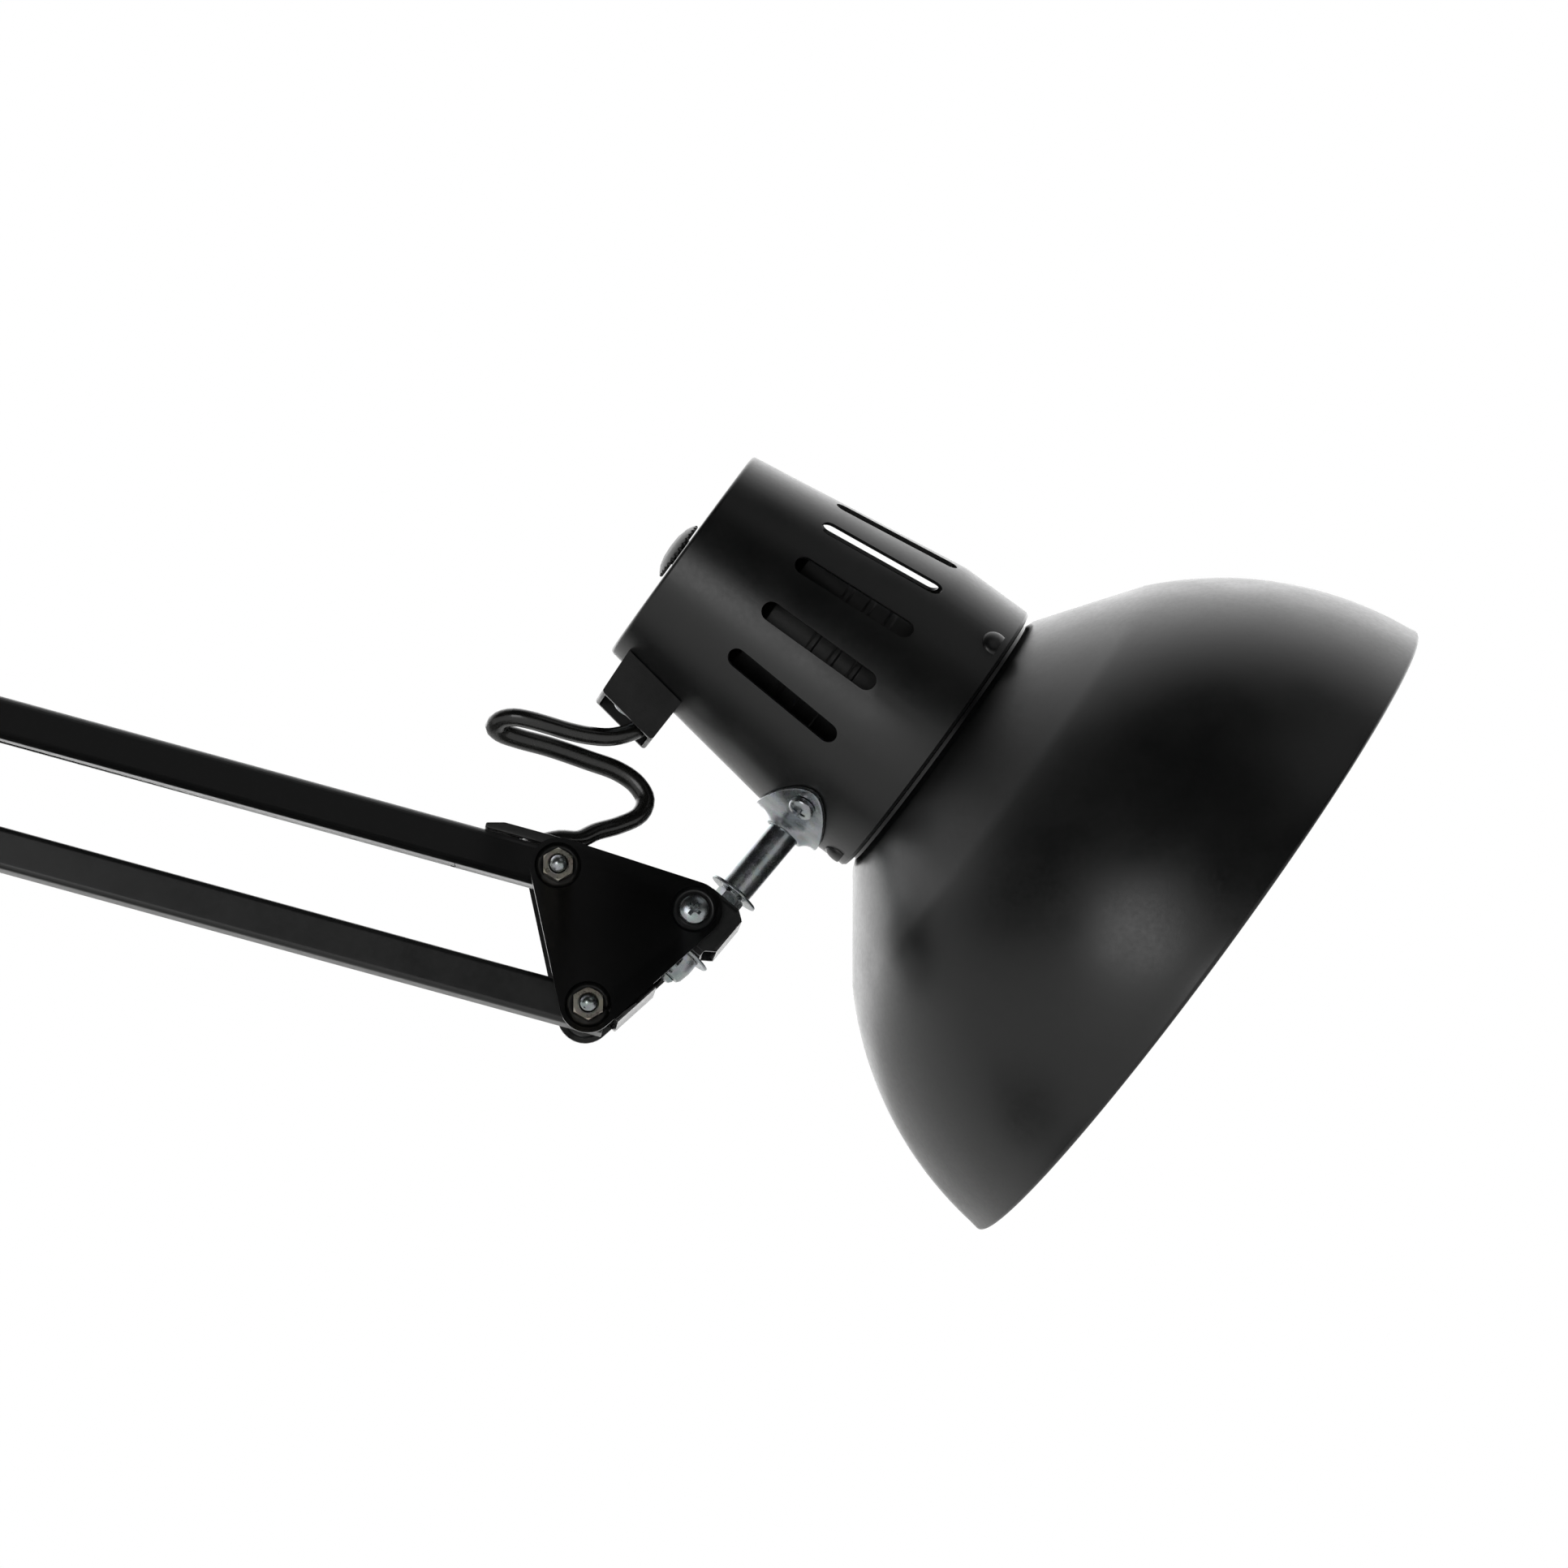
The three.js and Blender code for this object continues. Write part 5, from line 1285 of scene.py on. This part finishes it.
# ---------- cords ----------
def route(origin, offsets):
    return [origin + Vector(offset) for offset in offsets]


def slot_route(pivot, degrees, to_end):
    """The cord's way out of a bar through its slot, near a pivot. to_end is 1 at the bar's far end."""
    across, outward = along(1, degrees + 90), along(to_end, degrees)
    steps = [(-16.2, 0.2), (-14.5, 0.6), (-10.5, 2.8), (-6, 5.7), (-1.5, 8.1), (3, 9.2)]
    return [pivot + outward * distance + across * lift for distance, lift in steps]


# From the cord box through one loop down to the tip of the upper arm, measured from the arm's last pivot.
HEAD_LOOP = [
    (19.9, -3.3, 34.9), (16, -4, 33.2), (12.3, -5, 32.4), (7.3, -6, 32.6), (2.6, -7, 33.4), (-2.1, -8, 34.6),
    (-6.8, -8.6, 35.8), (-10.6, -8.2, 36.5), (-13.6, -6.6, 36.2), (-15, -4.4, 35), (-13.6, -2, 33.8),
    (-9.2, 0, 32.6), (-1.9, 2, 31), (7.7, 4, 28.1), (15, 5, 25.6), (19.6, 5, 22.3),
    (21.6, 4.5, 18.3), (20.1, 3.5, 14.7), (15, 2.5, 12), (9.5, 1.2, 10.2),
]
# Over the elbow, measured from the lower arm's rear top pivot.
ELBOW_LOOP = [
    (33, 0, 64), (24, 0, 66.5), (12, 0, 66.5), (1, 0, 62.5), (-9, 0, 54.5), (-17, 0, 43),
    (-21.5, 0, 30), (-21.5, 0, 18), (-17, 0, 8.5),
]
# From the foot of the rear bar down to the grip on the turret, measured from the rear foot pivot.
FOOT_LOOP = [(-18.5, 0, 20), (-21.5, 0, 11), (-22.4, 0, 1), (-21, 0, -9), (-17, 0, -19), (-13.8, 0, -26),
             (-12.9, 0, -32)]
# From the grip over the base and down behind it to the coil.
LEAD = [
    (-37.5, 0, 38.1), (-44, 0, 36), (-52, 0, 30.5), (-60, 0, 24), (-69, 0, 18.9), (-80, 0, 16.9),
    (-92, 0, 16.6),
    (-103, 0, 16.8), (-111, 0, 16.1), (-118, -0.5, 12.2), (-125, -2.5, 6.9), (-132, -6.5, 3.7),
    (-139, -13, 2.9), (-145.5, -22, 2.9), (-153, -31.5, 2.9), (-162, -38.5, 2.9), (-171, -38.9, 2.9),
    (-179, -37.9, 2.9),
]
# From the coil's top turn to the plug.
TAIL = [(-190, 42.6, 7.6), (-183, 43.6, 7), (-176, 44, 6.9), (-169.4, 44, 7), (-166, 44, 7)]
PLUG_START = Vector((-169, 44, 7))


def tube_rings(path, wide=CORD_WIDE, thin=CORD_THIN, sides=20):
    """The rings of an oval tube, the cord's unless told. Its wide side starts along Y, without twist."""
    side = Vector((0, 1, 0))
    rings = []
    for i, point in enumerate(path):
        way = (path[min(i + 1, len(path) - 1)] - path[max(i - 1, 0)]).normalized()
        side = (side - way * side.dot(way)).normalized()
        lift = way.cross(side)
        rings.append([point + side * wide * math.cos(a) + lift * thin * math.sin(a) for a in circle(sides)])
    return rings


def nearest(path, point):
    return min(range(len(path)), key=lambda i: (path[i] - point).length)


def cord_span(name, rings, node):
    cord = rings_to_tube(rings)
    show(name, cord, METRES, None, CORD, [node], 0, 70)
    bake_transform(cord)


def make_head_loop():
    loop = route(TOP_TIP, HEAD_LOOP)
    entry = loop[0] + Vector((2.6, 0.6, 1.9))
    path = smooth_route([entry, *loop, *reversed(slot_route(TOP_TIP, UPPER_ARM_ANGLE, 1))])
    rings = tube_rings(path)
    first, second = nearest(path, loop[7]), nearest(path, loop[13])
    cord_span("head_loop_swivel", rings[:first + 1], "head_cord")
    cord_span("head_loop_tilt", rings[first:second + 1], "head_cord")
    cord_span("head_loop_arm", rings[second:], "head_cord")


def make_elbow_loop():
    loop = route(REAR_TOP, ELBOW_LOOP)
    path = smooth_route([*slot_route(TOP_ROOT, UPPER_ARM_ANGLE, -1), *loop,
                         *reversed(slot_route(REAR_TOP, LOWER_ARM_ANGLE, 1))])
    rings = tube_rings(path)
    middle = nearest(path, loop[4])
    cord_span("elbow_loop_upper", rings[:middle + 1], "elbow_cord")
    cord_span("elbow_loop_lower", rings[middle:], "elbow_cord")


def make_foot_loop():
    foot_slot = REAR_FOOT + along(FOOT_RISE, LOWER_ARM_ANGLE)
    loop = route(REAR_FOOT, FOOT_LOOP)
    path = smooth_route([*slot_route(foot_slot, LOWER_ARM_ANGLE, -1), *loop])
    rings = tube_rings(path)
    cord_span("foot_loop", rings, "foot_cord")


def make_inner_cords():
    """The stretches that run inside the bars."""
    for name, place, body, low in (("lower_arm_cord", LOWER_REAR, "lower_rear_bar", FOOT_RISE),
                                   ("upper_arm_cord", UPPER_TOP, "upper_top_bar", 0)):
        path = [Vector((low + 16 + (ARM_LENGTH - low - 32) * i / 40, 0, 0.2)) for i in range(41)]
        tube = rings_to_tube(tube_rings(path))
        show(f"{name}_run", tube, place, body, CORD, [name], 0, 70)


def coil_route():
    """Wound flat, clockwise from above: nearly four turns inwards on the floor, then out on top of them."""
    outer, pitch, inner_turn = 37.1, 5.4, 3.85
    low, high = 2.9, 7.3
    last = 6.42
    steps = 34

    def ease(value):
        value = min(1, max(0, value))
        return value * value * (3 - 2 * value)

    points = []
    for i in range(round(last * steps) + 1):
        t = last * i / round(last * steps)
        if t < 3:
            radius = outer - pitch * (int(t) + ease((t % 1 - 0.8) / 0.2))
        elif t < inner_turn:
            radius = outer - 3 * pitch
        else:
            radius = outer - 3 * pitch + (t - inner_turn) * 6.5 + 3.5 * ease((t - 6.1) / 0.35)
        angle = math.radians(270 - 360 * t)
        height = low + (high - low) * ease((t - 3.5) / (inner_turn - 3.5))
        points.append(Vector((COIL_X + radius * math.cos(angle), radius * math.sin(angle), height)))
    return points


def make_lead(plug):
    coil = coil_route()
    path = smooth_route([*[Vector(p) for p in LEAD], *coil, *[Vector(p) for p in TAIL]])
    start = nearest(path, coil[0])
    lead = rings_to_tube(tube_rings(path))
    show("mains_lead", lead, METRES, None, CORD, ["lead_cord", "lead_coil", "lead_tail"], 0, 70)
    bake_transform(lead)
    return path[:start]


def make_relief(path):
    """The tapered, ribbed sleeve on the lead where it leaves the grip."""
    reach = [p for p in path if (p - path[0]).length < 24]
    rings = tube_rings(reach, 1, 0.9, sides=28)
    total = len(rings) - 1
    shaped = []
    for i, ring in enumerate(rings):
        share = i / total
        size = 4.6 - 1.25 * share
        if 0.12 < share < 0.94 and i % 3 == 0:
            size -= 0.75
        shaped.append([reach[i] + (p - reach[i]) * size for p in ring])
    show("lead_relief", rings_to_tube(shaped), METRES, "turret", PLASTIC, (), 0, 40)


def make_coil_tie():
    """A flat wire tie round the coil, with its ends twisted together on the outside."""
    half_width, low, high = 10.95, 0.35, 10.0
    middle = (low + high) / 2
    half_height = (high - low) / 2
    outline = softened([(-half_width, -half_height), (half_width, -half_height), (half_width, half_height),
                        (-half_width, half_height)], 2.2, 8)
    path = [Vector((COIL_X - 29 + x, 0, middle + z)) for x, z in outline]
    band = sweep(path, [(-1.6, -0.3), (1.6, -0.3), (1.6, 0.3), (-1.6, 0.3)], closed=True)
    foot = Vector((COIL_X - 29 - half_width - 0.3, 0, middle))
    tails = []
    for phase in (0, math.pi):
        twist = [foot + Vector((-0.5 * k, 0.8 * math.cos(phase + k * 1.1),
                                0.8 * math.sin(phase + k * 1.1))) for k in range(9)]
        twist += [twist[-1] + Vector((-0.6, 1.6 * math.cos(phase), 1.4)),
                  twist[-1] + Vector((-0.9, 3.6 * math.cos(phase), 2.6))]
        tails.append(sweep(smooth_route(twist, 0.6), oval(0.75, 0.45, 10)))
    show("coil_tie", together([band, *tails]), METRES, "base", PLASTIC, (), 0, 40)


def make_plug():
    """A flat two-pin plug lying on its broad side, with a ribbed neck."""
    sections = [
        (0, 3.2, 2.9), (1, 3.5, 3.2), (3, 3.5, 3.2), (3.4, 3.0, 2.8), (4.6, 3.0, 2.8), (5, 3.7, 3.4),
        (7, 3.7, 3.4),
        (7.4, 3.2, 3.0), (8.6, 3.2, 3.0), (9, 4.0, 3.7), (11, 5.4, 4.8), (14, 7.9, 5.8), (18, 9.2, 6.3),
        (24, 10.4, 6.5),
        (30, 11.6, 6.6), (32.8, 12.2, 6.6), (33.7, 12.0, 6.4), (34, 11.5, 5.9),
    ]
    sides, square = 48, 3.2
    rings = []
    for x, wide, thin in sections:
        ring = []
        for angle in circle(sides):
            c, s = math.cos(angle), math.sin(angle)
            power = 2 / (2 + (square - 2) * min(1, x / 14))
            ring.append(Vector((x, wide * math.copysign(abs(c) ** power, c),
                                thin * math.copysign(abs(s) ** power, s))))
        rings.append(ring)
    body = rings_to_tube(rings)
    pins = []
    for y in (-9.5, 9.5):
        pin = turned([(0, 33), (2, 33), (2, 44), (1.95, 44.3), (1.95, 51.2), (1.5, 52.4), (0, 53)], 32)
        pins.append(shifted(turned_by(pin, 90, "Y"), 0, y, 0))
    place = METRES @ Matrix.Translation(PLUG_START)
    plug = show("mains_plug", body, place, "base", PLASTIC, ["plug"], 0.25)
    show("mains_plug_pins", together(pins), place, "base", BRASS, (), 0.1)
    return plug


make_base()
make_turret()
make_arms()
make_elbow()
make_springs()
make_head_bracket()
make_yoke()
make_stem()
make_wing_nut()
make_shade()
make_housing()
make_saddle()
make_cord_box()
make_lamp()
make_knob()
make_head_loop()
make_elbow_loop()
make_foot_loop()
make_inner_cords()
make_relief(make_lead(make_plug()))
make_coil_tie()
